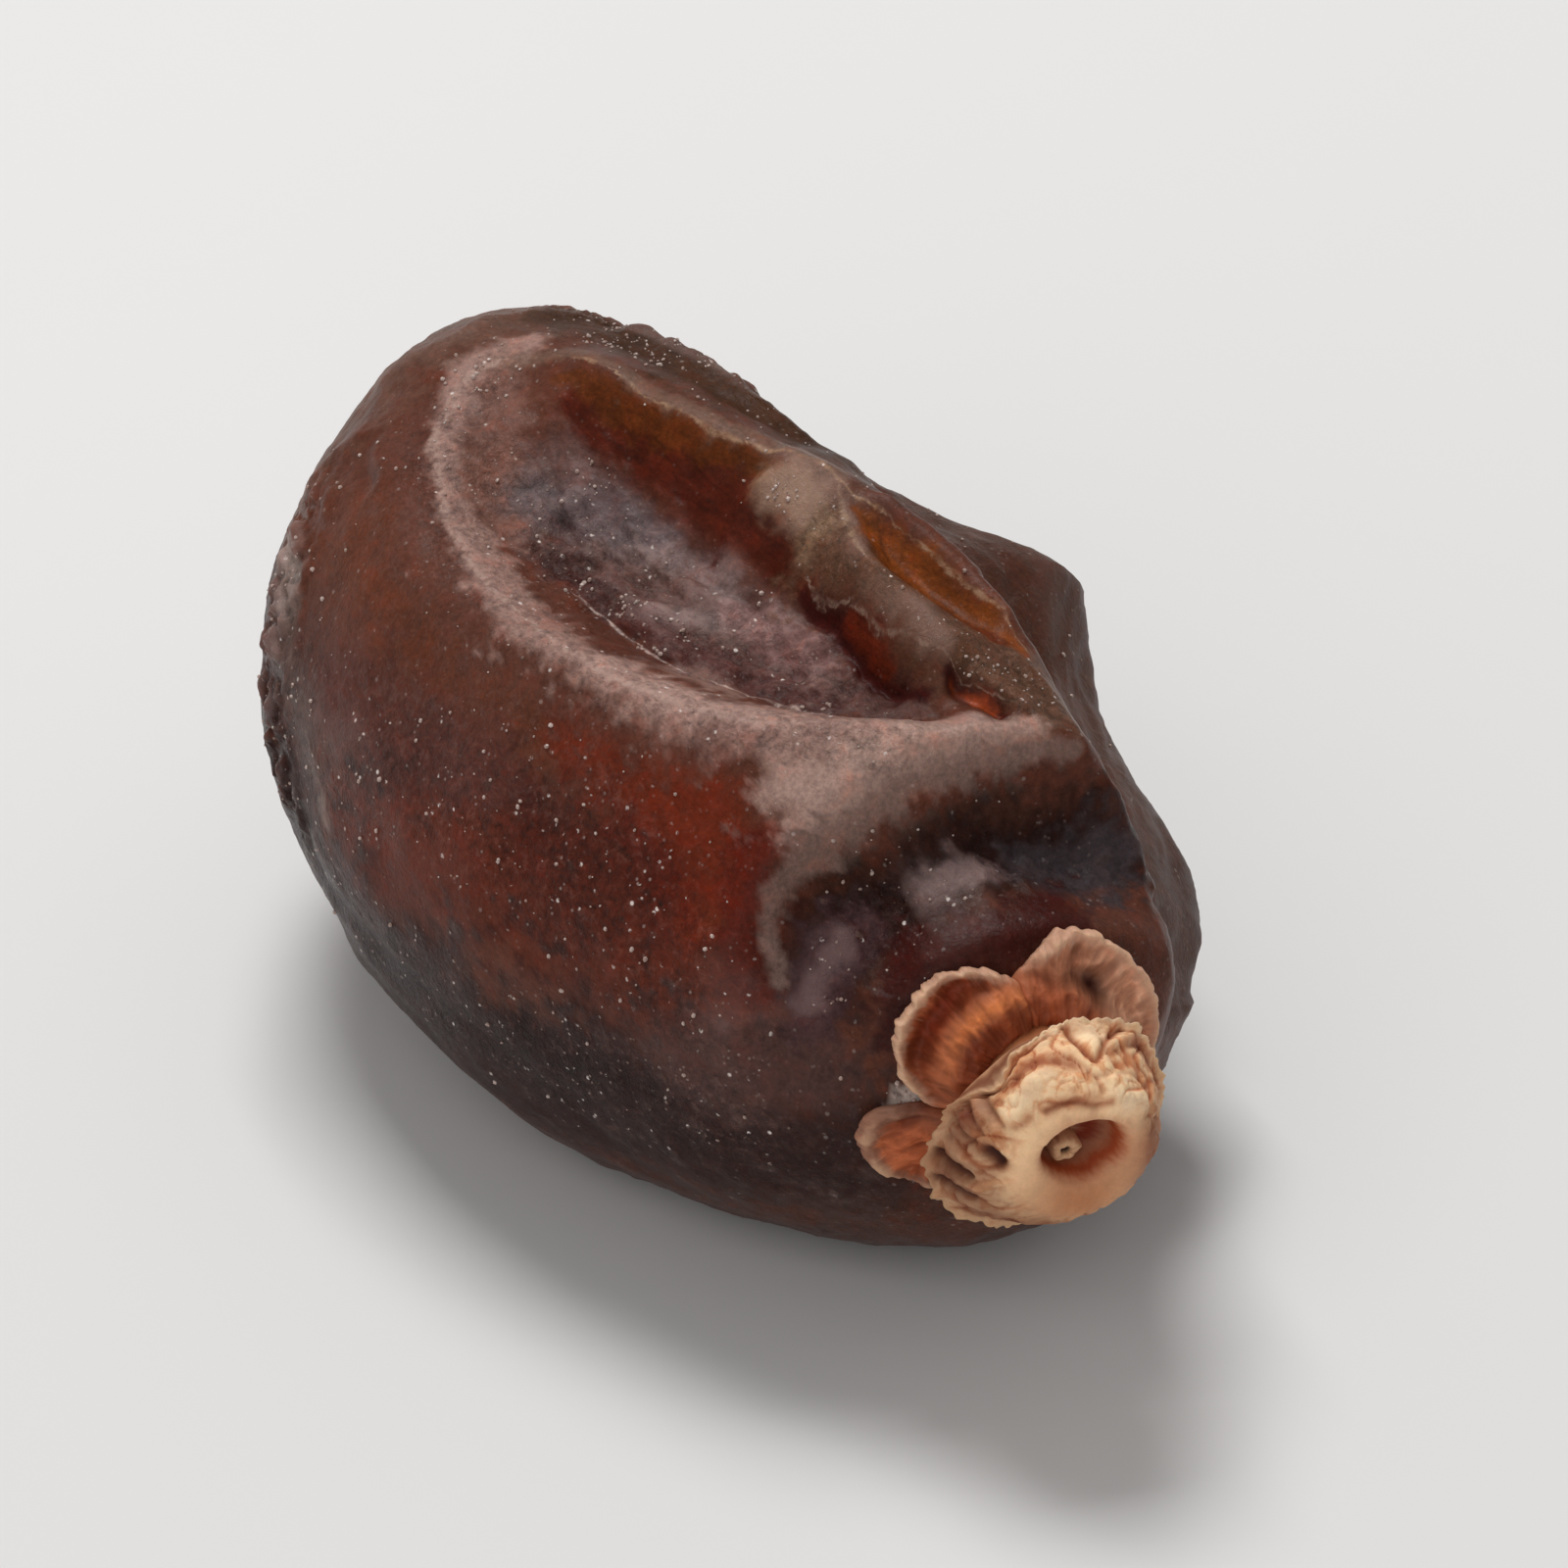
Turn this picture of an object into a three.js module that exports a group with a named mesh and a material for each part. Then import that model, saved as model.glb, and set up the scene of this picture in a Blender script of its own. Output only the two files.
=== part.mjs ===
// A dried date lying on the flat spot of its underside, with the dry calyx still on its stalk end.
// Millimetres, +Z up. The long axis runs along +X to the stalk end and dips a little towards it.
// The origin is under the middle of the date, on the surface that it rests on.
//
// Places on the fruit are a station, in mm along its long axis from the middle, and an angle in
// degrees round that axis, from 0 on the top through 90 on the -Y flank to 180 underneath.
import * as THREE from 'three';
import { mergeVertices } from 'three/addons/utils/BufferGeometryUtils.js';

const DEGREE = Math.PI / 180;

// The plump fruit before it dried
const HALF_LENGTH = 18.6;
const HALF_WIDTH = 11.3;
const HALF_HEIGHT = 10.7;
const BLUNTNESS = 0.84; // 1 is an ellipsoid, and less has fuller ends
const DIP = 4 * DEGREE;
const REST_HEIGHT = 9.9; // from the flat spot up to the middle of the fruit
const REST_EASE = 0.35; // the round skin runs into the flat spot over this height
const AROUND = 72;
const ALONG = 48;

// Soft hollows where the flesh shrank: the points of the deepest line, each with the half width
// and depth there, and how softly the hollow runs out into the next one
const HOLLOWS = [
  { name: 'long valley on top', ease: 0.8, line: [
    [-8.8, 19, 2.8, 0.8], [-6.4, 21, 4.2, 1.9], [-2.6, 21, 4.7, 2.7], [1.5, 17, 4.7, 3.0],
    [5, 16, 3.7, 2.7], [7.8, 12, 2.5, 2.0], [10.4, 6, 1.3, 0.9]] },
  { name: 'saddle behind the calyx', ease: 0.5, line: [
    [16.0, -36, 2.6, 1.2], [15.6, -16, 2.8, 1.8], [14.8, 4, 2.9, 2.0], [14.2, 24, 2.9, 1.9],
    [13.8, 44, 2.7, 1.5], [13.7, 60, 2.3, 1.1], [14.6, 74, 1.8, 0.5]] },
  { name: 'far shoulder', ease: 0.8, line: [
    [-11, -40, 4.6, 0.8], [-5, -48, 6.0, 2.0], [1, -46, 5.6, 2.6], [5.5, -54, 6.8, 3.5],
    [10.5, -58, 6.6, 3.7], [14.2, -72, 6.0, 3.1], [16.4, -100, 5.0, 2.3], [16.6, -128, 4.0, 1.4]] },
  { name: 'groove in the fold', ease: 0.3, line: [
    [2.4, -7, 1.0, 0.3], [4.5, -9, 1.3, 0.6], [6.5, -12, 1.3, 0.7], [8.8, -15, 0.9, 0.3]] },
  { name: 'far flank', ease: 0.9, line: [
    [-12, -100, 4.5, 0.9], [-3, -110, 5.0, 1.7], [5, -108, 4.2, 1.1]] },
  { name: 'far underside', ease: 0.8, line: [[4, -140, 4.0, 1.0], [12, -132, 3.8, 1.1]] },
  { name: 'near rear end', ease: 0.6, line: [
    [-15.0, 84, 4.5, 0.5], [-16.2, 45, 4.5, 0.6], [-15.8, 0, 4.0, 0.4]] },
  { name: 'far rear end', ease: 0.8, line: [[-15.5, -86, 5.0, 1.2]] },
];

// Ridges where the skin gathered: the points of the crest, its height, and how far it spreads to
// the right and to the left of someone who walks along it
const RIDGES = [
  { name: 'near rim of the valley', height: 0.5, right: 1.8, left: 0.7, line: [
    [-10.6, 3], [-11.1, 16], [-9.1, 28], [-7.1, 36], [-2, 41.5], [3.8, 39.5], [6.4, 36.5],
    [8.4, 31.5], [9.9, 24], [10.9, 15], [11.5, 3], [12.0, -10]] },
  { name: 'rim of the saddle', height: 0.35, right: 1.0, left: 0.35, line: [
    [13.9, -34], [13.2, -15], [12.7, 1.5], [12.4, 16], [12.2, 30], [11.9, 42], [11.9, 50],
    [12.3, 58], [13.4, 70]] },
  { name: 'far rim of the valley', height: 0.5, right: 0.6, left: 0.8, line: [
    [-10.8, 10], [-9.2, 3], [-6, 1], [-2.9, -2], [-0.7, -5.5], [1.5, -9.5], [5.6, -16],
    [9.5, -20], [12.4, -24]] },
  { name: 'lip of the fold', height: 0.4, right: 0.5, left: 0.6, line: [
    [-1.5, 1], [0.6, -0.5], [4.6, -1.5], [8.4, -3], [11.3, -12]] },
  { name: 'crease at the rear', height: 0.25, right: 0.5, left: 0.5, line: [
    [-13.6, 60], [-13.4, 46], [-12.4, 38], [-10.6, 38], [-9.0, 42]] },
];

// Soft swells, each round a spot: how high, and how far it reaches
const SWELLS = [
  { name: 'low near flank', height: 1.1, reach: 8.5, station: -1, angle: 130 },
  { name: 'top of the rear', height: 0.9, reach: 4.5, station: -14.6, angle: 0 },
  { name: 'far flank', height: 1.3, reach: 4.2, station: -0.5, angle: -76 },
];
const CREST_ROUNDING = 0.3;
const FADE_SHARE = 0.2; // a ridge rises and dies over this share of its length
const STEPS_PER_SPAN = 8;

// The dry calyx: a woody cup with the stalk's scar in its end, and petals dried onto the fruit
const SEAT_STATION = 18.27;
const SEAT_ANGLE = 58;
const CUP_TURN = -16 * DEGREE; // towards the -Y flank
const CUP_DROOP = 6 * DEGREE;
const SEAT_STAND = 0.2; // the cup stands this far off, because the fruit's end is round
const GAP = 0.3;
const CUP_RADIUS = 3.4;
const CUP_LENGTH = 3.6;
const FOOT_RADIUS = 1.9; // the cup's foot, which the petals grow round
const FOOT_HEIGHT = 1.05;
const CUP_LEAN = 0.3; // how far the end of the cup lies towards +Y of its foot
const CUP_SWELL = 0.09; // how much wider the cup is than its outline, all round
const CUP_LOBE = 0.14; // and how much more on its fullest side, or less across from it
const CUP_LOBE_ANGLE = 150 * DEGREE;
const SCAR_RADIUS = 1.3;
const SCAR_DEPTH = 1.4;
const CORE_RADIUS = 0.45;
const CORE_LENGTH = 0.8;
const CORE_OFF = [-0.25, -0.12]; // from the middle of the scar, in Y and Z
const PETAL_THICKNESS = 0.8;
const PETAL_FULLNESS = 0.6; // 1 is a lens, and less has thicker edges
const PETAL_INNER = 2.3;
const PETAL_LIFT = 0.3;
const PETALS = [ // a squareness of 2 is an oval, more has full corners and less is pointed
  { name: 'petal_top', middle: -65, tip: -56, spread: 44, reach: 4.35, squareness: 3.0 },
  { name: 'petal_near', middle: 50, tip: 54, spread: 37, reach: 3.75, squareness: 3.0 },
  { name: 'petal_under', middle: 138, tip: 115, spread: 28, reach: 4.85, squareness: 1.8 },
];

const FLESH = { color: 0x4f281c, roughness: 0.42, metalness: 0 };
const HUSK = { color: 0xba8059, roughness: 0.75, metalness: 0 };
const PETAL_SKIN = { color: 0x7a4630, roughness: 0.7, metalness: 0 };
const STRAND = { color: 0xc79a72, roughness: 0.85, metalness: 0 };

// The plump fruit's surface point and outward normal for a direction from its middle
function plump(direction) {
  const across = Math.hypot(direction.y, direction.z) + 1e-12;
  const girth = across ** BLUNTNESS;
  const along = Math.sign(direction.x) * Math.abs(direction.x) ** BLUNTNESS;
  const power = 2 / BLUNTNESS - 1;
  const y = (girth * direction.y) / across;
  const z = (girth * direction.z) / across;
  const point = new THREE.Vector3(HALF_LENGTH * along, HALF_WIDTH * y, HALF_HEIGHT * z);
  const normal = new THREE.Vector3(
    (Math.sign(along) * Math.abs(along) ** power) / HALF_LENGTH,
    (girth ** (power - 1) * y) / HALF_WIDTH,
    (girth ** (power - 1) * z) / HALF_HEIGHT,
  ).normalize();
  return { point, normal };
}

// The direction from the fruit's middle to a station and angle
function towards(station, angle) {
  const along = Math.sign(station) * Math.min(1, Math.abs(station) / HALF_LENGTH) ** (1 / BLUNTNESS);
  const across = Math.sqrt(1 - along * along);
  return new THREE.Vector3(along, -across * Math.sin(angle * DEGREE), across * Math.cos(angle * DEGREE));
}

// A smooth curve through rows of numbers, as many small steps
function smoothRows(rows) {
  if (rows.length === 1) return rows;
  const mirror = (end, next) => end.map((value, i) => 2 * value - next[i]);
  const padded = [mirror(rows[0], rows[1]), ...rows, mirror(rows.at(-1), rows.at(-2))];
  const steps = [];
  for (let i = 1; i < padded.length - 2; i += 1) {
    const [p0, p1, p2, p3] = padded.slice(i - 1, i + 3);
    for (let step = 0; step < STEPS_PER_SPAN; step += 1) {
      const t = step / STEPS_PER_SPAN;
      steps.push(p1.map((b, k) => b
        + 0.5 * t * (p2[k] - p0[k]
        + t * (2 * p0[k] - 5 * b + 4 * p2[k] - p3[k]
        + t * (3 * b - p0[k] - 3 * p2[k] + p3[k])))));
    }
  }
  return [...steps, rows.at(-1)];
}

// A line on the plump fruit: its points, their normals, and the further numbers of its rows
function traced(rows) {
  return smoothRows(rows).map(([station, angle, ...extra]) => {
    return { ...plump(towards(station, angle)), extra };
  });
}

// The nearest place on a line: how far, on its left or right, how far along, and the numbers there
function nearest(point, line) {
  const best = { distance: Infinity, left: false, share: 0, extra: line[0].extra };
  if (line.length === 1) best.distance = point.distanceTo(line[0].point);
  for (let i = 0; i + 1 < line.length; i += 1) {
    const step = line[i + 1].point.clone().sub(line[i].point);
    const from = point.clone().sub(line[i].point);
    const t = THREE.MathUtils.clamp(from.dot(step) / step.lengthSq(), 0, 1);
    const off = from.addScaledVector(step, -t);
    if (off.length() < best.distance) {
      best.distance = off.length();
      best.left = off.dot(line[i].normal.clone().cross(step)) > 0;
      best.share = (i + t) / (line.length - 1);
      best.extra = line[i].extra.map((a, k) => a + t * (line[i + 1].extra[k] - a));
    }
  }
  return best;
}

// The greater of two numbers, eased where they are alike
function softMax(a, b, ease) {
  const overlap = Math.max(ease - Math.abs(a - b), 0) / ease;
  return Math.max(a, b) + (overlap * overlap * ease) / 4;
}

const hollowLines = HOLLOWS.map(({ ease, line }) => ({ ease, line: traced(line) }));
const ridgeLines = RIDGES.map((ridge) => ({ ...ridge, line: traced(ridge.line) }));
const swellSpots = SWELLS.map(({ height, reach, station, angle }) => {
  return { height, reach, spot: plump(towards(station, angle)).point };
});

function depthAt(point) {
  let depth = 0;
  for (const { ease, line } of hollowLines) {
    const { distance, extra: [halfWidth, deepest] } = nearest(point, line);
    depth = softMax(depth, deepest * (1 - (distance / halfWidth) ** 2), ease);
  }
  return depth;
}

function riseAt(point) {
  let rise = 0;
  for (const { height, left, right, line } of ridgeLines) {
    const place = nearest(point, line);
    const toEnd = Math.min(place.share, 1 - place.share) / FADE_SHARE;
    const fade = THREE.MathUtils.smoothstep(toEnd, 0, 1);
    const away = Math.hypot(place.distance, CREST_ROUNDING) - CREST_ROUNDING;
    rise += height * fade * Math.exp(-away / (place.left ? left : right));
  }
  for (const { height, reach, spot } of swellSpots) {
    rise += height * Math.exp(-((point.distanceTo(spot) / reach) ** 2));
  }
  return rise;
}

// The dried fruit's skin for a direction from its middle, turned and placed as it lies
const lie = new THREE.Matrix4().makeRotationY(DIP);
lie.setPosition(0, 0, REST_HEIGHT);

function skin(direction) {
  const { point, normal } = plump(direction);
  const moved = point.clone().addScaledVector(normal, riseAt(point) - depthAt(point));
  moved.applyMatrix4(lie);
  moved.z = moved.z < -REST_EASE ? 0 : softMax(moved.z, 0, REST_EASE);
  return { point: moved, normal: normal.transformDirection(lie) };
}

// Moves every vertex of a closed geometry, and joins the copies along its seams
function reshape(geometry, place) {
  const at = geometry.attributes.position;
  const vertex = new THREE.Vector3();
  for (let i = 0; i < at.count; i += 1) {
    const moved = place(vertex.fromBufferAttribute(at, i));
    at.setXYZ(i, moved.x, moved.y, moved.z);
  }
  geometry.deleteAttribute('normal');
  geometry.deleteAttribute('uv');
  const joined = mergeVertices(geometry, 1e-4);
  joined.computeVertexNormals();
  return joined;
}

function addPiece(parent, name, geometry, look) {
  const mesh = new THREE.Mesh(geometry, new THREE.MeshStandardMaterial(look));
  mesh.name = name;
  parent.add(mesh);
}

function fruitGeometry() {
  const ball = new THREE.SphereGeometry(1, AROUND, ALONG).rotateZ(-Math.PI / 2);
  return reshape(ball, (vertex) => skin(vertex.clone().normalize()).point);
}

// The calyx stands in a frame of its own: +X out along the cup, +Z up, foot on the fruit's end
function calyxFrame() {
  const seat = skin(towards(SEAT_STATION, SEAT_ANGLE));
  const calyx = new THREE.Group();
  calyx.position.copy(seat.point);
  calyx.rotation.set(0, CUP_DROOP, CUP_TURN, 'ZYX');
  calyx.translateX(SEAT_STAND);
  calyx.updateMatrixWorld();
  return calyx;
}

function cupGeometry() {
  const scarFloor = CUP_LENGTH - SCAR_DEPTH;
  const outline = [
    [0, 0], [FOOT_RADIUS, 0], [FOOT_RADIUS, FOOT_HEIGHT - 0.1],
    [0.92 * CUP_RADIUS, FOOT_HEIGHT + 0.2], [CUP_RADIUS, FOOT_HEIGHT + 0.5],
    [0.96 * CUP_RADIUS, 2.0], [0.85 * CUP_RADIUS, 2.55], [0.76 * CUP_RADIUS, 3.05],
    [0.69 * CUP_RADIUS, 3.45], [0.58 * CUP_RADIUS, CUP_LENGTH], [0.46 * CUP_RADIUS, 3.55],
    [SCAR_RADIUS, 3.2],
    [0.92 * SCAR_RADIUS, scarFloor + 0.2], [0.7 * SCAR_RADIUS, scarFloor], [0, scarFloor],
  ].map(([radius, height]) => new THREE.Vector2(radius, height));
  const turned = new THREE.LatheGeometry(outline, 30).rotateZ(-Math.PI / 2);
  return reshape(turned, (vertex) => {
    const angle = Math.atan2(-vertex.y, vertex.z);
    const wall = THREE.MathUtils.smoothstep(vertex.x, FOOT_HEIGHT - 0.1, FOOT_HEIGHT + 0.5)
      * THREE.MathUtils.smoothstep(Math.hypot(vertex.y, vertex.z), SCAR_RADIUS, 2.0);
    const lobes = 1 + wall * (CUP_SWELL + CUP_LOBE * Math.cos(angle - CUP_LOBE_ANGLE));
    const share = vertex.x / CUP_LENGTH;
    const y = vertex.y * lobes + CUP_LEAN * share * share;
    return new THREE.Vector3(vertex.x + GAP, y, vertex.z * lobes);
  });
}

function coreGeometry() {
  const core = new THREE.CylinderGeometry(0.8 * CORE_RADIUS, CORE_RADIUS, CORE_LENGTH, 14);
  core.rotateZ(-Math.PI / 2);
  const middle = CUP_LENGTH - SCAR_DEPTH + 2 * GAP + CORE_LENGTH / 2;
  const lean = CUP_LEAN * (middle / CUP_LENGTH) ** 2;
  const [offY, offZ] = CORE_OFF;
  return reshape(core, (vertex) => vertex.add(new THREE.Vector3(middle, lean + offY, offZ)));
}

// The direction from the fruit's middle to the spot on its stalk end behind a point
function endDirection(point) {
  const local = point.clone().applyMatrix4(lie.clone().invert());
  const across = Math.hypot(local.y / HALF_WIDTH, local.z / HALF_HEIGHT);
  const sine = across ** (1 / BLUNTNESS);
  const y = (sine * local.y) / HALF_WIDTH / across;
  const z = (sine * local.z) / HALF_HEIGHT / across;
  return new THREE.Vector3(Math.sqrt(1 - sine * sine), y, z);
}

// A petal: a thin lens wrapped over the fruit's end, with its tip lifted clear
function petalGeometry(calyx, { middle, tip, spread, reach, squareness }) {
  const lens = new THREE.SphereGeometry(1, 26, 14);
  return reshape(lens, (vertex) => {
    const from = Math.hypot(vertex.x, vertex.y) + 1e-9;
    const corner = (Math.abs(vertex.x / from) ** squareness
      + Math.abs(vertex.y / from) ** squareness) ** (-1 / squareness);
    const outward = 0.5 + 0.5 * corner * vertex.y;
    const turn = (THREE.MathUtils.lerp(middle, tip, outward) - spread * corner * vertex.x) * DEGREE;
    const radius = THREE.MathUtils.lerp(PETAL_INNER, reach, outward);
    const spot = new THREE.Vector3(0, -radius * Math.sin(turn), radius * Math.cos(turn));
    const { point, normal } = skin(endDirection(calyx.localToWorld(spot)));
    const side = Math.sign(vertex.z) * Math.abs(vertex.z) ** PETAL_FULLNESS;
    const height = GAP + PETAL_LIFT * outward * outward + PETAL_THICKNESS * (0.5 + 0.5 * side);
    return calyx.worldToLocal(point.addScaledVector(normal, height));
  });
}

const group = new THREE.Group();
addPiece(group, 'fruit', fruitGeometry(), FLESH);

const calyx = calyxFrame();
addPiece(calyx, 'calyx_cup', cupGeometry(), HUSK);
addPiece(calyx, 'stalk_core', coreGeometry(), STRAND);
for (const petal of PETALS) {
  addPiece(calyx, petal.name, petalGeometry(calyx, petal), PETAL_SKIN);
}
group.add(calyx);

// The origin goes under the middle of the whole date
const middle = new THREE.Box3().setFromObject(group, true).getCenter(new THREE.Vector3());
group.position.set(-middle.x, -middle.y, 0);

export default group;
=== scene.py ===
"""A dried date with its dry calyx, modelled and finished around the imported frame.

Lengths in the tables are millimetres. Places on the fruit are a station, in mm along its long axis
from the middle, and an angle in degrees round that axis, from 0 on the top through 90 on the -Y
flank to 180 underneath. The meshes are written in metres.
"""
import math
import random

import bmesh
import bpy
import numpy as np
from mathutils import Matrix, Vector, noise


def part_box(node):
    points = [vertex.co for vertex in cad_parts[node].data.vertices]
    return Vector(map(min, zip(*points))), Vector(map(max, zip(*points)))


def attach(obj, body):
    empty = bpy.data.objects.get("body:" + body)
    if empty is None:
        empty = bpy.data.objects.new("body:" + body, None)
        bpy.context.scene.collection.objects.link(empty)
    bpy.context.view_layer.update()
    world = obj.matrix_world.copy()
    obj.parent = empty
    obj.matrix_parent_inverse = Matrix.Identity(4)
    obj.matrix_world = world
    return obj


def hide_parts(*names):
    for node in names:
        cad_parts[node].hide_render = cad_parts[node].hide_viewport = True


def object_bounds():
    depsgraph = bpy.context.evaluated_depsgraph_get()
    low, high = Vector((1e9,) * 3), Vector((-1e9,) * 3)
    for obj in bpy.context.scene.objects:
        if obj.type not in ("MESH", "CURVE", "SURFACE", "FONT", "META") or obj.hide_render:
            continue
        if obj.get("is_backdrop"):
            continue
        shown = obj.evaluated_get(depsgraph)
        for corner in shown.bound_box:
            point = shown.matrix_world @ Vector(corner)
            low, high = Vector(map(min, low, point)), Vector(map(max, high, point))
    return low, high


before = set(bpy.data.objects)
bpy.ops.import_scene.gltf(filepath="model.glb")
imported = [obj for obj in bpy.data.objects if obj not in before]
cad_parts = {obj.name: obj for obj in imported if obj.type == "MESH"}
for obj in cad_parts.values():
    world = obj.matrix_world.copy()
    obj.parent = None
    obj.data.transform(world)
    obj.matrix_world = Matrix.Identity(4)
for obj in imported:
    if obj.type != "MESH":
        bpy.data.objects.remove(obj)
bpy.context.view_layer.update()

bl_info = {
    "name": "Dried Date",
    "version": (1, 0, 0),
    "blender": (4, 5, 0),
    "location": "3D View > Sidebar > Date",
    "description": "Models a dried date and its calyx around the packed frame",
    "category": "Add Mesh",
}

MM = 0.001

# ---------------------------------------------------------------------------------------------
# The form of the fruit. It is the form of the CAD solid, which the finer relief is added to.

BLUNTNESS = 0.84            # 1 is an ellipsoid, and less has fuller ends
DIP = math.radians(4)       # the long axis dips towards the stalk end
REST_HEIGHT = 9.9           # from the flat spot up to the middle of the fruit
OFF_MIDDLE = (0.01, -0.22)   # from the middle of the fruit's box to the middle of the plump form
REST_EASE = 0.35            # the round skin runs into the flat spot over this height
CREST_ROUNDING = 0.3
FADE_SHARE = 0.2            # a ridge rises and dies over this share of its length
STEPS_PER_SPAN = 8
STRAY = 0.16                # lines drawn on the skin wander about this far

# name: (ease, rows of station, angle, half width, depth)
HOLLOWS = {
    "valley": (0.8, [
        (-8.8, 19, 2.8, 0.8), (-6.4, 21, 4.2, 1.9), (-2.6, 21, 4.7, 2.7), (1.5, 17, 4.7, 3.0),
        (5, 16, 3.7, 2.7), (7.8, 12, 2.5, 2.0), (10.4, 6, 1.3, 0.9)]),
    "saddle": (0.5, [
        (16.0, -36, 2.6, 1.2), (15.6, -16, 2.8, 1.8), (14.8, 4, 2.9, 2.0), (14.2, 24, 2.9, 1.9),
        (13.8, 44, 2.7, 1.5), (13.7, 60, 2.3, 1.1), (14.6, 74, 1.8, 0.5)]),
    "far_shoulder": (0.8, [
        (-11, -40, 4.6, 0.8), (-5, -48, 6.0, 2.0), (1, -46, 5.6, 2.6), (5.5, -54, 6.8, 3.5),
        (10.5, -58, 6.6, 3.7), (14.2, -72, 6.0, 3.1), (16.4, -100, 5.0, 2.3),
        (16.6, -128, 4.0, 1.4)]),
    "fold_groove": (0.3, [
        (2.4, -7, 1.0, 0.3), (4.5, -9, 1.3, 0.6), (6.5, -12, 1.3, 0.7), (8.8, -15, 0.9, 0.3)]),
    "far_flank": (0.9, [(-12, -100, 4.5, 0.9), (-3, -110, 5.0, 1.7), (5, -108, 4.2, 1.1)]),
    "far_underside": (0.8, [(4, -140, 4.0, 1.0), (12, -132, 3.8, 1.1)]),
    "near_rear": (0.6, [(-15.0, 84, 4.5, 0.5), (-16.2, 45, 4.5, 0.6), (-15.8, 0, 4.0, 0.4)]),
    "far_rear": (0.8, [(-15.6, -80, 5.0, 1.2), (-15.4, -92, 5.0, 1.2)]),
}

# name: (height, spread to the right, spread to the left, rows of station, angle)
RIDGES = {
    "near_rim": (0.5, 1.8, 0.7, [
        (-10.6, 3), (-11.1, 16), (-9.1, 28), (-7.1, 36), (-2, 41.5), (3.8, 39.5), (6.4, 36.5),
        (8.4, 31.5), (9.9, 24), (10.9, 15), (11.5, 3), (12.0, -10)]),
    "saddle_rim": (0.35, 1.0, 0.35, [
        (13.9, -34), (13.2, -15), (12.7, 1.5), (12.4, 16), (12.2, 30), (11.9, 42), (11.9, 50),
        (12.3, 58), (13.4, 70)]),
    "far_rim": (0.5, 0.6, 0.8, [
        (-10.8, 10), (-9.2, 3), (-6, 1), (-2.9, -2), (-0.7, -5.5), (1.5, -9.5), (5.6, -16),
        (9.5, -20), (12.4, -24)]),
    "fold_lip": (0.4, 0.5, 0.6, [(-1.5, 1), (0.6, -0.5), (4.6, -1.5), (8.4, -3), (11.3, -12)]),
    "rear_crease": (0.25, 0.5, 0.5, [
        (-13.6, 60), (-13.4, 46), (-12.4, 38), (-10.6, 38), (-9.0, 42)]),
}

# Soft swells, each round a spot: height, reach, station and angle
SWELLS = {
    "low_near_flank": (1.1, 8.5, -1, 130),
    "rear_top": (0.9, 4.5, -14.6, 0),
    "far_flank": (1.3, 4.2, -0.5, -76),
}

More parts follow.
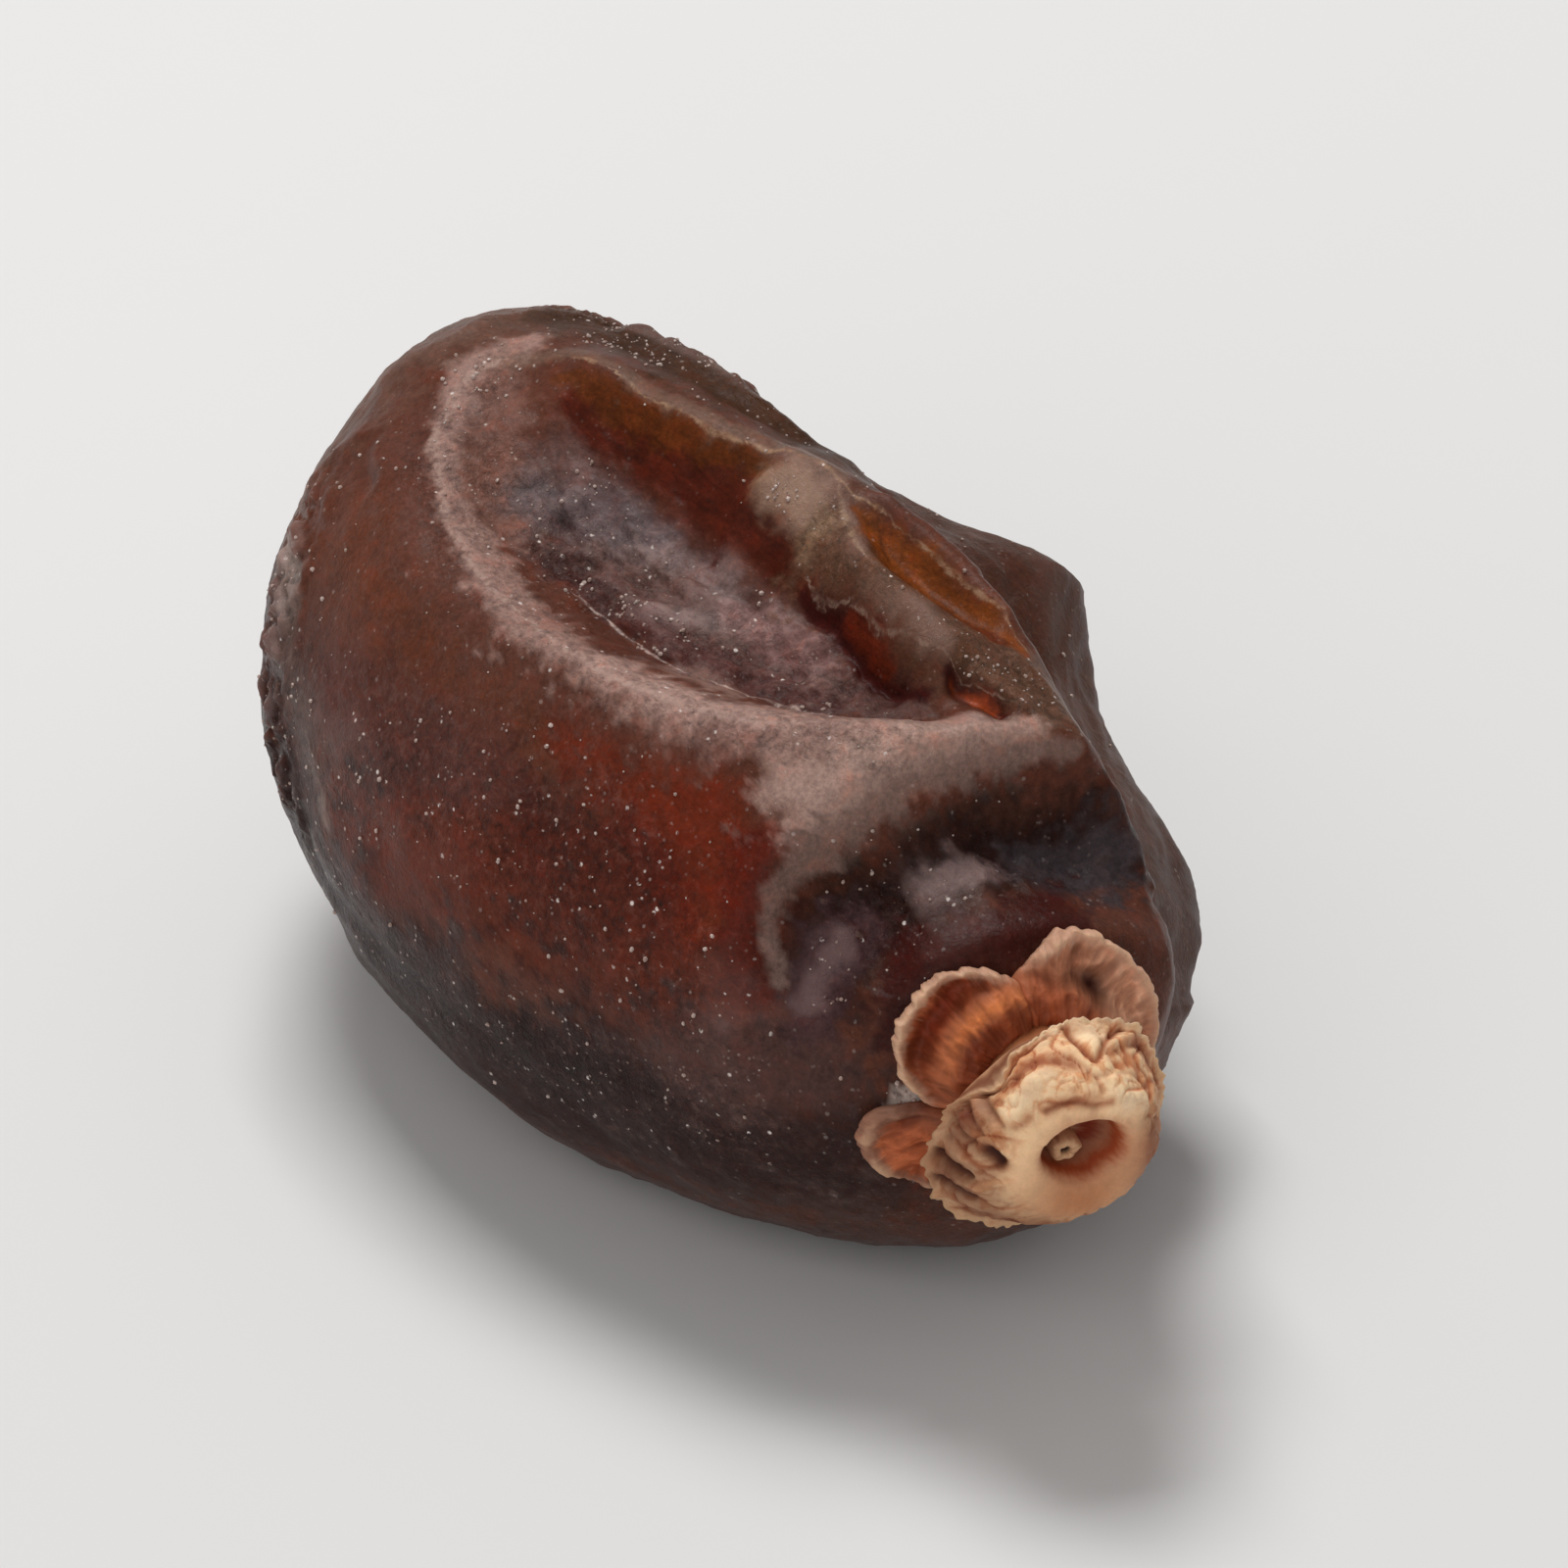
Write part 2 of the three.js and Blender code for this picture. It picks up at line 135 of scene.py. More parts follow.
# Finer folds, which only the finished skin has, in rows like the ridges'. Less than 0 is a groove.
FOLDS = {
    "slit": (-0.75, 0.28, 0.32, [(3.4, 3), (4.6, 3.4), (6.0, 4.4), (7.4, 5), (8.7, 5.2), (9.9, 3.8)]),
    "slit_lip": (0.40, 0.22, 0.45, [
        (3.0, 1.6), (4.4, 2), (5.8, 1.8), (7.1, 1.8), (8.2, 1), (9.2, -0.6), (10.0, -2)]),
    "slit_right": (-0.60, 0.22, 0.30, [(9.8, -0.8), (10.5, -2), (11.2, -3.4), (12.0, -5.4)]),
    "slit_right_lip": (0.25, 0.2, 0.4, [(9.8, -3), (10.6, -4.6), (11.3, -7), (12.0, -9)]),
    "knob": (0.45, 0.8, 0.8, [(-0.7, -1.4), (0.3, -2.6), (1.2, -3.2), (2.6, -3.4)]),
    "flap_crest": (0.34, 0.2, 0.25, [(2.0, -11), (4.6, -14), (7.4, -16.5), (9.4, -17)]),
    "flap_lip": (0.26, 0.25, 0.3, [(1.5, -9.5), (2.6, -8), (3.8, -6), (5.2, 0)]),
    "amber_groove": (-0.2, 0.4, 0.4, [(3.0, -8.5), (5.1, -11), (7.0, -13), (9.1, -13)]),
    "near_wall_foot": (-0.50, 0.16, 0.55, [
        (-2.8, 33.5), (-1.0, 33), (0.6, 32.5), (2.1, 32), (3.6, 29.5), (4.9, 26.2), (6.8, 23),
        (8.5, 19.5), (9.7, 13.5), (10.5, 7), (11.5, -1.5)]),
    "facet_lip": (0.2, 0.25, 0.5, [(2.6, 30), (4.0, 27.5), (5.4, 25), (6.6, 24.5)]),
    "floor_fold_a": (0.16, 0.35, 0.5, [(-5.5, 27), (-3.0, 24), (-0.5, 27), (2.2, 25), (4.6, 21)]),
    "floor_fold_b": (0.14, 0.3, 0.4, [(-6.0, 18), (-3.6, 14), (-1.0, 17), (1.6, 13), (4.4, 12)]),
    "floor_fold_c": (0.16, 0.3, 0.3, [(-1.5, 30), (0.4, 24), (1.8, 20), (4.0, 17)]),
    "floor_pit": (-0.30, 0.6, 0.6, [(-5.6, 22), (-4.6, 24), (-3.4, 27), (-2.4, 28)]),
    "saddle_lump_a": (0.42, 0.9, 0.8, [(15.3, 12), (15.0, 20), (14.8, 28), (14.5, 36)]),
    "saddle_lump_b": (0.42, 1.0, 0.9, [(14.3, 46), (13.9, 56), (13.9, 64), (14.4, 72)]),
    "saddle_fold": (0.25, 0.4, 0.5, [(15.0, 8), (15.6, 18), (15.8, 34), (16.0, 50)]),
    "saddle_far_fold": (0.35, 0.4, 0.5, [(13.6, -22), (14.8, -30), (15.8, -36), (16.6, -46)]),
    "rear_fold": (0.22, 0.4, 0.8, [(-14.6, 30), (-13.2, 14), (-12.6, -6), (-11.2, -16)]),
    "rear_crease_line": (-0.25, 0.3, 0.3, [(-12.2, 34), (-11.6, 38), (-10.6, 41), (-9.5, 42.5)]),
    "far_strip_a": (0.3, 0.5, 0.5, [(-12.5, -20), (-8.6, -17), (-5.0, -17), (-1.0, -19), (2, -25)]),
    "far_strip_b": (-0.25, 0.4, 0.6, [(-10.5, -10), (-7.0, -10), (-3.0, -13), (0.0, -18)]),
    "far_long_a": (0.28, 0.5, 0.9, [(-9, -58), (-3, -66), (4, -70), (10, -66), (14, -70)]),
    "far_long_b": (-0.28, 0.5, 0.8, [(-12, -76), (-5, -84), (3, -88), (9, -92), (13, -100)]),
    "far_long_c": (0.25, 0.6, 0.8, [(-7, -122), (0, -126), (7, -122), (12, -114)]),
    "flank_dent": (-0.22, 2.0, 1.6, [(2.0, 66), (5.5, 62), (9.0, 60), (11.4, 66)]),
    "flank_swell": (0.14, 2.4, 2.4, [(-9, 70), (-4, 78), (1, 84), (6, 88)]),
    "low_crease_a": (-0.16, 0.5, 0.5, [(-9, 104), (-4, 108), (1, 107), (6, 111)]),
    "low_crease_b": (-0.14, 0.4, 0.5, [(3, 96), (7, 99), (11, 98), (14, 104)]),
}


def plump(directions):
    """The plump fruit's surface points and outward normals for unit directions from its middle."""
    size = bpy.context.scene.date_fruit
    half = np.array([size.length, size.width, size.height]) / (2 * MM)
    across = np.hypot(directions[:, 1], directions[:, 2]) + 1e-12
    girth = across ** BLUNTNESS
    along = np.sign(directions[:, 0]) * np.abs(directions[:, 0]) ** BLUNTNESS
    power = 2 / BLUNTNESS - 1
    unit = np.stack([along, girth * directions[:, 1] / across, girth * directions[:, 2] / across], 1)
    normals = unit / half
    normals[:, 0] = np.sign(along) * np.abs(along) ** power / half[0]
    normals[:, 1:] *= (girth ** (power - 1))[:, None]
    return unit * half, normals / np.linalg.norm(normals, axis=1)[:, None]


def towards(stations, angles):
    """Unit directions from the fruit's middle to stations and angles, or to one of each."""
    stations, angles = np.atleast_1d(stations, angles)
    half_length = bpy.context.scene.date_fruit.length / (2 * MM)
    share = np.minimum(1, np.abs(stations) / half_length)
    along = np.sign(stations) * share ** (1 / BLUNTNESS)
    across = np.sqrt(1 - along * along)
    turn = np.radians(angles)
    return np.stack([along, -across * np.sin(turn), across * np.cos(turn)], 1)


def smooth_rows(rows, steps=STEPS_PER_SPAN):
    """A smooth curve through rows of numbers, as many small steps."""
    rows = np.array(rows, float)
    padded = np.vstack([2 * rows[0] - rows[1], rows, 2 * rows[-1] - rows[-2]])
    t = (np.arange(steps) / steps)[:, None]
    spans = []
    for p0, p1, p2, p3 in zip(padded, padded[1:], padded[2:], padded[3:]):
        curve = 3 * p1 - p0 - 3 * p2 + p3
        bend = 2 * p0 - 5 * p1 + 4 * p2 - p3
        spans.append(p1 + 0.5 * t * (p2 - p0 + t * (bend + t * curve)))
    return np.vstack([*spans, rows[-1:]])


def nearest(points, rows):
    """For each point, how it lies to a line of rows on the plump fruit: its distance, whether it is
    on the left, the share of the way along, and the row's further numbers there."""
    curve = smooth_rows(rows)
    line, normals = plump(towards(curve[:, 0], curve[:, 1]))
    extra = curve[:, 2:]
    spans = len(line) - 1
    distance = np.full(len(points), np.inf)
    left = np.zeros(len(points), bool)
    share = np.zeros(len(points))
    numbers = np.zeros((len(points), extra.shape[1]))
    for i in range(spans):
        step = line[i + 1] - line[i]
        t = np.clip((points - line[i]) @ step / (step @ step), 0, 1)
        off = points - line[i] - t[:, None] * step
        away = np.linalg.norm(off, axis=1)
        closer = away < distance
        distance[closer] = away[closer]
        left[closer] = (off[closer] @ np.cross(normals[i], step)) > 0
        share[closer] = (i + t[closer]) / spans
        numbers[closer] = extra[i] + t[closer, None] * (extra[i + 1] - extra[i])
    return distance, left, share, numbers


def soft_max(a, b, ease):
    """The greater of two numbers, eased where they are alike."""
    overlap = np.maximum(ease - np.abs(a - b), 0) / ease
    return np.maximum(a, b) + overlap * overlap * ease / 4


def smooth_step(value):
    """0 up to 0, 1 from 1 on, and a smooth step between."""
    value = np.clip(value, 0, 1)
    return value * value * (3 - 2 * value)


def hollow_at(points, rows):
    """How deep a hollow is at points, less than 0 outside it."""
    distance, _, _, numbers = nearest(points, rows)
    return numbers[:, 1] * (1 - (distance / numbers[:, 0]) ** 2)


def depth_at(points):
    """How deep all the hollows are, run together."""
    depth = np.zeros(len(points))
    for ease, rows in HOLLOWS.values():
        depth = soft_max(depth, hollow_at(points, rows), ease)
    return depth


def ridge_at(points, height, right, left, rows):
    """How high a ridge stands, or with a height of less than 0 how deep a groove is."""
    distance, on_left, share, _ = nearest(points, rows)
    fade = smooth_step(np.minimum(share, 1 - share) / FADE_SHARE)
    away = np.hypot(distance, CREST_ROUNDING) - CREST_ROUNDING
    return height * fade * np.exp(-away / np.where(on_left, left, right))


def swell_at(points, height, reach, station, angle):
    """How high a soft swell stands round its spot."""
    spot = plump(towards(station, angle))[0][0]
    return height * np.exp(-((points - spot) ** 2).sum(1) / reach ** 2)


def rise_at(points):
    """How high all the ridges and swells stand."""
    ridges = sum(ridge_at(points, *ridge) for ridge in RIDGES.values())
    return ridges + sum(swell_at(points, *swell) for swell in SWELLS.values())


def lie():
    """The matrix that turns the fruit and sets it down where the frame has it, in mm."""
    turned = Matrix.Rotation(DIP, 4, "Y")
    middle = (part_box("fruit")[0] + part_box("fruit")[1]) / (2 * MM)
    return Matrix.Translation((middle.x + OFF_MIDDLE[0], middle.y + OFF_MIDDLE[1], REST_HEIGHT)) @ turned


def carried(points, matrix):
    """Points, or with no translation directions, carried by a matrix."""
    matrix = np.array(matrix)
    return points @ matrix[:3, :3].T + matrix[:3, 3]


def settle(points):
    """Sets the fruit down and presses its underside flat on the surface."""
    placed = carried(points, lie())
    pressed = soft_max(placed[:, 2], 0, REST_EASE)
    placed[:, 2] = np.where(placed[:, 2] < -REST_EASE, 0, pressed)
    return placed


def main_skin(directions):
    """The skin of the CAD solid, as points in mm and outward normals, for directions."""
    points, normals = plump(directions)
    moved = points + normals * (rise_at(points) - depth_at(points))[:, None]
    return settle(moved), normals @ np.array(lie().to_3x3()).T


def lumps(points, size, octaves=3, seed=0.0):
    """Smooth noise, about -1 to 1, with lumps of about that size."""
    scaled = points / size + seed
    return np.array([noise.fractal(Vector(p), 1.0, 2.0, octaves) for p in scaled])


def creases(points, size, octaves=3, seed=0.0):
    """Sharp-crested noise from 0 to about 1."""
    scaled = points / size + seed
    values = [noise.ridged_multi_fractal(Vector(p), 1.0, 2.1, octaves, 0.9, 2.0) for p in scaled]
    return np.clip(np.array(values) / 1.8, 0, 1.4)


def wavy(points):
    """Points led a little astray, which makes the lines drawn round them uneven."""
    return points + STRAY * np.stack([lumps(points, 1.5, 3, seed) for seed in (71.0, 83.0, 97.0)], 1)


def near_line(points, rows, reach):
    """From 1 on a line to 0 at its reach, softly."""
    return smooth_step(1 - nearest(points, rows)[0] / reach)


# ---------------------------------------------------------------------------------------------
# Colour and finish of the skin, painted where it grew, dried or gathered dust, with some painted light and
# shade

# name: (linear colour, strength, rows of station, angle, half width)
SKIN_ZONES = {
    "rear": ((0.138, 0.066, 0.043), 0.85, [(-17, 70, 5.0), (-15.5, 20, 5.0), (-13.0, -20, 4.0)]),
    "rear_crust": ((0.300, 0.230, 0.200), 0.85, [
        (-12.2, 62, 0.8), (-10.6, 67, 1.1), (-9.4, 77, 1.0), (-7.8, 80, 0.9), (-6.4, 87, 0.8),
        (-4.8, 92, 0.5)]),
    "rear_grey": ((0.070, 0.025, 0.018), 0.8, [(-13.5, 88, 3.2), (-9.5, 78, 2.6), (-7.0, 92, 2.6)]),
    "upper_flank": ((0.132, 0.034, 0.014), 0.9, [(-8.5, 47, 3.0), (-3, 53, 3.4), (2, 54, 2.8)]),
    "flank": ((0.126, 0.021, 0.008), 0.9, [(-3, 88, 3.2), (3.1, 74, 3.6), (8.7, 72, 3.6), (12, 72, 2.4)]),
    "purple_flank": ((0.085, 0.024, 0.018), 0.7, [(-5.5, 72, 2.4), (-1.3, 66, 2.6), (1.5, 63, 2.0)]),
    "rusty_glow": ((0.150, 0.017, 0.003), 0.9, [(4, 50, 1.8), (8.0, 47, 2.6), (10.2, 56, 2.2)]),
    "glow_right": ((0.108, 0.009, 0.002), 0.85, [(10.8, 47, 1.1), (11.7, 57, 1.4), (12.6, 68, 1.4)]),
    # the lower flank: the skin's dark colour, deepened to near black as painted shade
    "low_flank": ((0.019, 0.006, 0.005), 0.92, [
        (-15, 100, 4.4), (-8, 110, 4.8), (0, 112, 4.8), (8, 110, 4.6), (15, 104, 4.2)]),
    "low_right": ((0.088, 0.040, 0.034), 0.8, [(11.5, 88, 2.4), (14.5, 80, 2.4)]),
    "underside": ((0.060, 0.030, 0.024), 0.8, [(-12, 160, 8.0), (0, 170, 9.0), (12, 160, 8.0)]),
    "far_side": ((0.066, 0.018, 0.006), 0.85, [
        (-12, -50, 6.0), (-4, -62, 8.0), (5, -66, 8.0), (13, -60, 6.0)]),
    "far_low": ((0.070, 0.028, 0.017), 0.7, [(-12, -104, 6.0), (0, -112, 7.0), (12, -106, 6.0)]),
    "far_strip": ((0.052, 0.017, 0.004), 0.9, [
        (-12, -10, 1.8), (-6, -13, 2.0), (0, -20, 2.2), (5, -30, 3.0)]),
    "valley_top": ((0.195, 0.084, 0.060), 0.9, [(-10.0, 15, 1.4), (-8.4, 22, 1.8), (-6.0, 31, 1.4)]),
    "valley_floor": ((0.128, 0.064, 0.054), 0.95, [
        (-6.5, 16, 1.8), (-3, 19, 3.2), (2, 17, 3.2), (6, 13, 2.4), (9.5, 8, 1.2)]),
    "valley_blue": ((0.118, 0.080, 0.081), 0.95, [
        (-6.3, 23, 1.3), (-4.7, 18.5, 1.7), (-3.1, 14, 1.4), (-1.6, 12, 0.9)]),
    "valley_pale": ((0.225, 0.148, 0.138), 0.8, [
        (-2.3, 16, 0.6), (0.0, 9, 0.8), (1.8, 14, 0.8), (0.4, 24, 0.6)]),
    "valley_low": ((0.090, 0.030, 0.026), 0.85, [
        (-3.4, 29, 0.9), (0.5, 28, 1.1), (4.2, 22, 1.2), (7.5, 16, 0.9)]),
    "valley_pits": ((0.050, 0.011, 0.008), 0.9, [
        (-4.4, 30.5, 0.4), (-2.9, 30, 0.5), (-1.8, 27.5, 0.6), (-0.4, 27, 0.5)]),
    "valley_right": ((0.270, 0.150, 0.138), 0.85, [(2.0, 13, 0.8), (4.0, 11, 1.1), (6.0, 10, 0.8)]),
    # a pale facet: dry skin with painted sheen
    "facet": ((0.260, 0.150, 0.120), 0.85, [(3.0, 31, 0.5), (4.2, 29, 0.9), (5.6, 27, 0.6)]),
    "far_wall": ((0.076, 0.010, 0.003), 0.97, [
        (-7.6, 8, 0.6), (-4.9, 5, 1.2), (-2.8, 3.4, 1.3), (-0.5, 2, 1.2), (1.7, 2, 0.9),
        (3.6, 2.4, 0.4)]),
    "far_wall_amber": ((0.130, 0.030, 0.004), 0.8, [
        (-8.7, 6, 0.3), (-7.1, 4.4, 0.45), (-5.2, 2.4, 0.5), (-3.0, -0.2, 0.5), (-1.5, -2.6, 0.4),
        (0.3, -4.6, 0.25)]),
    "flap": ((0.134, 0.060, 0.031), 0.9, [
        (0.9, -6, 1.1), (3.0, -4, 1.5), (6.4, -4, 1.7), (9.2, -7, 2.2), (11.2, -14, 2.4)]),
    "flap_window": ((0.205, 0.050, 0.008), 1.0, [
        (2.9, -8.6, 0.3), (4.2, -9.6, 0.9), (5.8, -11, 1.15), (7.4, -12.8, 0.9), (8.8, -14.2, 0.6),
        (9.9, -15.2, 0.25)]),
    "window_deep": ((0.100, 0.017, 0.003), 0.85, [
        (5.2, -6.5, 0.3), (6.6, -8, 0.5), (8.2, -11, 0.45), (9.4, -13.4, 0.25)]),
    # the crack's near-black: dark flesh deepened by painted shade
    "slit": ((0.045, 0.005, 0.003), 1.0, [
        (3.6, 3, 0.25), (4.8, 3.6, 0.45), (6.2, 4.6, 0.6), (7.6, 5.2, 0.6), (8.8, 5.2, 0.5),
        (9.9, 3.6, 0.3)]),
    "slit_glow": ((0.150, 0.019, 0.005), 0.8, [(5.6, 3.1, 0.2), (7.0, 3.3, 0.35), (8.3, 3.6, 0.2)]),
    # the right crack's near-black: dark flesh deepened by painted shade
    "slit_right": ((0.050, 0.006, 0.003), 1.0, [(9.8, -0.6, 0.25), (10.6, -2, 0.5), (11.6, -4.4, 0.35)]),
    "slit_glow_right": ((0.280, 0.046, 0.010), 0.85, [
        (10.1, -0.8, 0.15), (10.8, -2.4, 0.35), (11.4, -4.2, 0.2)]),
    "knob": ((0.270, 0.155, 0.092), 0.85, [(-0.2, -2.2, 0.5), (1.0, -3.2, 0.9), (2.5, -3.2, 0.7)]),
    "near_skirt": ((0.118, 0.038, 0.023), 0.9, [
        (-10.4, 26, 1.4), (-7.8, 39, 1.7), (-2, 44, 1.8), (3, 43.5, 1.6), (7, 39, 1.6)]),
    # the pale rim: dusty bloom with painted sheen
    "near_rim": ((0.345, 0.202, 0.166), 0.95, [
        (-10.6, 3, 0.6), (-11.1, 16, 0.75), (-9.1, 27.8, 0.7), (-7.1, 34.8, 0.6), (-2, 41, 0.75),
        (2.2, 40, 0.9), (5.8, 36.5, 1.3), (8.6, 30, 1.5), (10.4, 20, 1.1), (11.6, 3, 0.8)]),
    "petal_crumbs": ((0.620, 0.500, 0.440), 0.9, [(16.4, 88, 0.2), (16.8, 80, 0.4), (17.1, 73, 0.25)]),
    # painted highlight along the rim, over its bloom
    "rim_bright": ((0.480, 0.305, 0.255), 0.85, [(2.6, 38.5, 0.5), (5.7, 36, 0.8), (8.0, 30, 0.6)]),
    "rim_fan": ((0.440, 0.285, 0.235), 0.9, [
        (10.2, 33, 1.6), (11.3, 29, 1.9), (11.9, 12, 1.2), (12.6, -6, 0.9)]),
    "far_rim": ((0.200, 0.115, 0.080), 0.6, [
        (-10.8, 10, 0.4), (-9.2, 2.6, 0.35), (-6, 0, 0.3), (-2.9, -3.5, 0.4), (-0.7, -7, 0.6),
        (1.5, -10, 0.5)]),
    # painted shade: the saddle under its rim is painted near black
    "saddle": ((0.020, 0.004, 0.002), 0.97, [
        (15.4, -34, 2.0), (15.2, 0, 2.5), (14.5, 30, 2.5), (13.9, 60, 2.2)]),
    "saddle_blue": ((0.060, 0.044, 0.048), 0.9, [(15.6, -28, 1.5), (16.0, -14, 1.6), (15.4, 0, 1.3)]),
    "saddle_lump": ((0.190, 0.122, 0.114), 0.75, [(15.3, 12, 0.8), (14.9, 20, 1.0), (14.8, 28, 0.7)]),
    "saddle_purple": ((0.084, 0.036, 0.039), 0.8, [(14.2, 48, 1.1), (13.9, 58, 1.4), (14.2, 70, 1.1)]),
    "saddle_red": ((0.046, 0.004, 0.002), 0.9, [
        (17.0, 4, 1.2), (16.4, 28, 1.5), (15.8, 44, 1.3), (16.2, 60, 1.0)]),
    "saddle_rim": ((0.250, 0.150, 0.120), 0.85, [
        (13.2, -15, 0.35), (12.7, 1.5, 0.35), (12.4, 16, 0.4), (12.2, 30, 0.45), (11.9, 42, 0.45),
        (11.9, 50, 0.4), (12.3, 58, 0.35), (13.0, 66, 0.3)]),
}
PLAIN_SKIN = (0.110, 0.032, 0.017)
ZONE_FIRMNESS = 1.4         # above 1 a zone stays full for a way out from its rows
EDGE_FADE_SHARE = 0.05      # a pale edge starts and ends over this share of its length
EDGE_REACH = 1.2            # and isn't drawn further away than this

# name: (amount, rows of station, angle, half width)
DUST_ZONES = {
    "rear": (0.45, [(-17.5, 70, 5.0), (-16, 20, 5.0), (-14.5, -20, 4.0)]),
    "low_flank": (0.10, [(-15, 98, 4.4), (-8, 108, 4.6), (0, 112, 4.8), (8, 110, 4.6), (15, 104, 4.0)]),
    "upper_flank": (0.20, [(-8, 56, 5.0), (-1, 62, 5.0), (5, 50, 3.0)]),
    "rims": (0.20, [(-10.6, 16, 1.1), (-7.9, 33, 1.1), (-1, 41, 1.2), (5.6, 36, 1.5), (11, 20, 2.0)]),
    "valley": (0.40, [(-6, 24, 2.4), (0, 19, 2.6), (6, 14, 1.6)]),
    "flap": (0.18, [(0, -8, 1.6), (5, -5, 2.4), (11, -14, 2.6)]),
    "far_strip": (0.06, [(-13, -12, 1.6), (-6, -18, 1.6), (0, -24, 1.8)]),
    "far_side": (0.22, [(-10, -60, 8.0), (8, -66, 9.0)]),
    "saddle": (0.05, [(15.4, -20, 2.0), (14.9, 20, 2.0), (14.0, 60, 2.0)]),
    "underside": (0.45, [(-12, 165, 9.0), (12, 165, 9.0)]),
}
PLAIN_DUST = 0.06
PLAIN_GRANULAR = 0.15
CLEAR_ZONES = (
    "far_wall", "far_wall_amber", "flap_window", "window_deep", "slit", "slit_glow", "slit_right",
    "slit_glow_right")

# name: (linear colour, rows of station, angle, half width) of the crisp pale edges of the folds
EDGES = {
    "far_crest": ((0.38, 0.230, 0.140), [
        (-9.4, 3.4, 0.04), (-7.0, 1.6, 0.08), (-4.3, -0.6, 0.09), (-1.9, -3.4, 0.10), (0.1, -7, 0.10),
        (1.3, -8.4, 0.08), (2.5, -9.8, 0.06), (3.9, -12, 0.05), (5.1, -13.8, 0.06), (7.3, -16, 0.06),
        (9.1, -16.6, 0.04), (10.0, -17, 0.02)]),
    "window_lip": ((0.36, 0.230, 0.150), [
        (1.9, -8.6, 0.06), (2.6, -7, 0.12), (3.6, -4.4, 0.14), (4.6, -2.4, 0.08), (5.2, -1.6, 0.02)]),
    # pale crumbs along the foot of the near wall, with a painted highlight on them
    "rim_foot_crumbs_and_highlight": ((0.62, 0.460, 0.400), [
        (-2.4, 32.2, 0.03), (-1.0, 32, 0.06), (0.6, 31.6, 0.07), (2.1, 31, 0.06), (3.6, 28.6, 0.04),
        (4.9, 25.4, 0.06), (6.6, 21.6, 0.12), (7.8, 19, 0.12), (8.8, 16, 0.05), (10.2, 8, 0.03)]),
    "slit_edge": ((0.30, 0.190, 0.140), [
        (3.2, 1.4, 0.03), (4.2, 2.4, 0.07), (5.6, 2.2, 0.06), (7.1, 2.3, 0.07), (8.0, 1.4, 0.06),
        (8.8, 0, 0.05), (9.9, -1.8, 0.04), (10.8, -4.4, 0.06), (11.6, -7.4, 0.03)]),
    # a painted highlight along the crest of the near rim
    "near_crest_highlight": ((0.44, 0.290, 0.240), [
        (-10.7, 8, 0.10), (-10.9, 17, 0.17), (-9.9, 26, 0.20), (-8.3, 33, 0.20), (-6.4, 38, 0.17),
        (-3.8, 41, 0.14), (-0.5, 41.6, 0.11), (2.8, 40.4, 0.12), (5.6, 37, 0.16), (8.0, 31.4, 0.15),
        (9.6, 23, 0.08)]),
}

# name: rows of station, angle, half width, where the dried skin is granular
GRANULAR_ZONES = {
    "valley": [(-7.2, 25, 2.0), (-3, 23, 3.2), (2, 19, 3.0), (6, 14, 2.0), (8.6, 9, 1.2)],
    "flank": [(-6, 84, 3.0), (1, 70, 3.4), (8, 66, 3.6), (12, 76, 3.0)],
    "low_flank": [(-12, 98, 2.8), (-6, 104, 3.0), (0, 106, 3.0), (7, 104, 3.0), (13, 98, 2.6)],
    "rear": [(-13.5, 60, 3.0), (-11, 74, 3.0), (-9, 96, 3.0)],
    "far_edge": [(-13, -12, 1.2), (-8, -18, 1.4), (-3, -22, 1.4), (4, -30, 1.4)],
    "saddle": [(15.3, 10, 0.9), (14.8, 24, 1.4), (14.1, 52, 1.3), (14.2, 68, 1.0)],
    "near_rim": [
        (-10.8, 10, 1.0), (-9.5, 28, 1.2), (-7, 36, 1.3), (-2, 41, 1.4), (4, 39, 1.5),
        (8.5, 30, 1.8), (11, 15, 1.8)],
    "flap": [(0.5, -5, 1.5), (5, -4, 1.6), (9, -7, 2.0), (11.5, -13, 2.0)],
}


# ---------------------------------------------------------------------------------------------
# Meshes

SKIN_CUTS = 127
PETAL_CUTS = 70
FINEST_SPOT = (3.0, 14.0)   # the skin's faces are drawn towards this station and angle
FINEST_PULL = 0.45          # by this share of the way out


def mesh_of(bm, name):
    """A new mesh of what a bmesh holds. The bmesh is freed."""
    mesh = bpy.data.meshes.new(name)
    bm.to_mesh(mesh)
    bm.free()
    return mesh


def ball_mesh(name, cuts):
    """A ball of even squares, from a cube, as a mesh and the unit direction of each vertex."""
    bm = bmesh.new()
    bmesh.ops.create_cube(bm, size=2)
    bmesh.ops.subdivide_edges(bm, edges=bm.edges[:], cuts=cuts, use_grid_fill=True)
    mesh = mesh_of(bm, name)
    x, y, z = vertex_array(mesh).T
    even = np.stack([
        x * np.sqrt(1 - y * y / 2 - z * z / 2 + y * y * z * z / 3),
        y * np.sqrt(1 - z * z / 2 - x * x / 2 + z * z * x * x / 3),
        z * np.sqrt(1 - x * x / 2 - y * y / 2 + x * x * y * y / 3)], 1)
    return mesh, even / np.linalg.norm(even, axis=1)[:, None]


def vertex_array(mesh):
    """The vertices of a mesh, one row each."""
    values = np.empty(3 * len(mesh.vertices), np.float32)
    mesh.vertices.foreach_get("co", values)
    return values.reshape(-1, 3).astype(float)


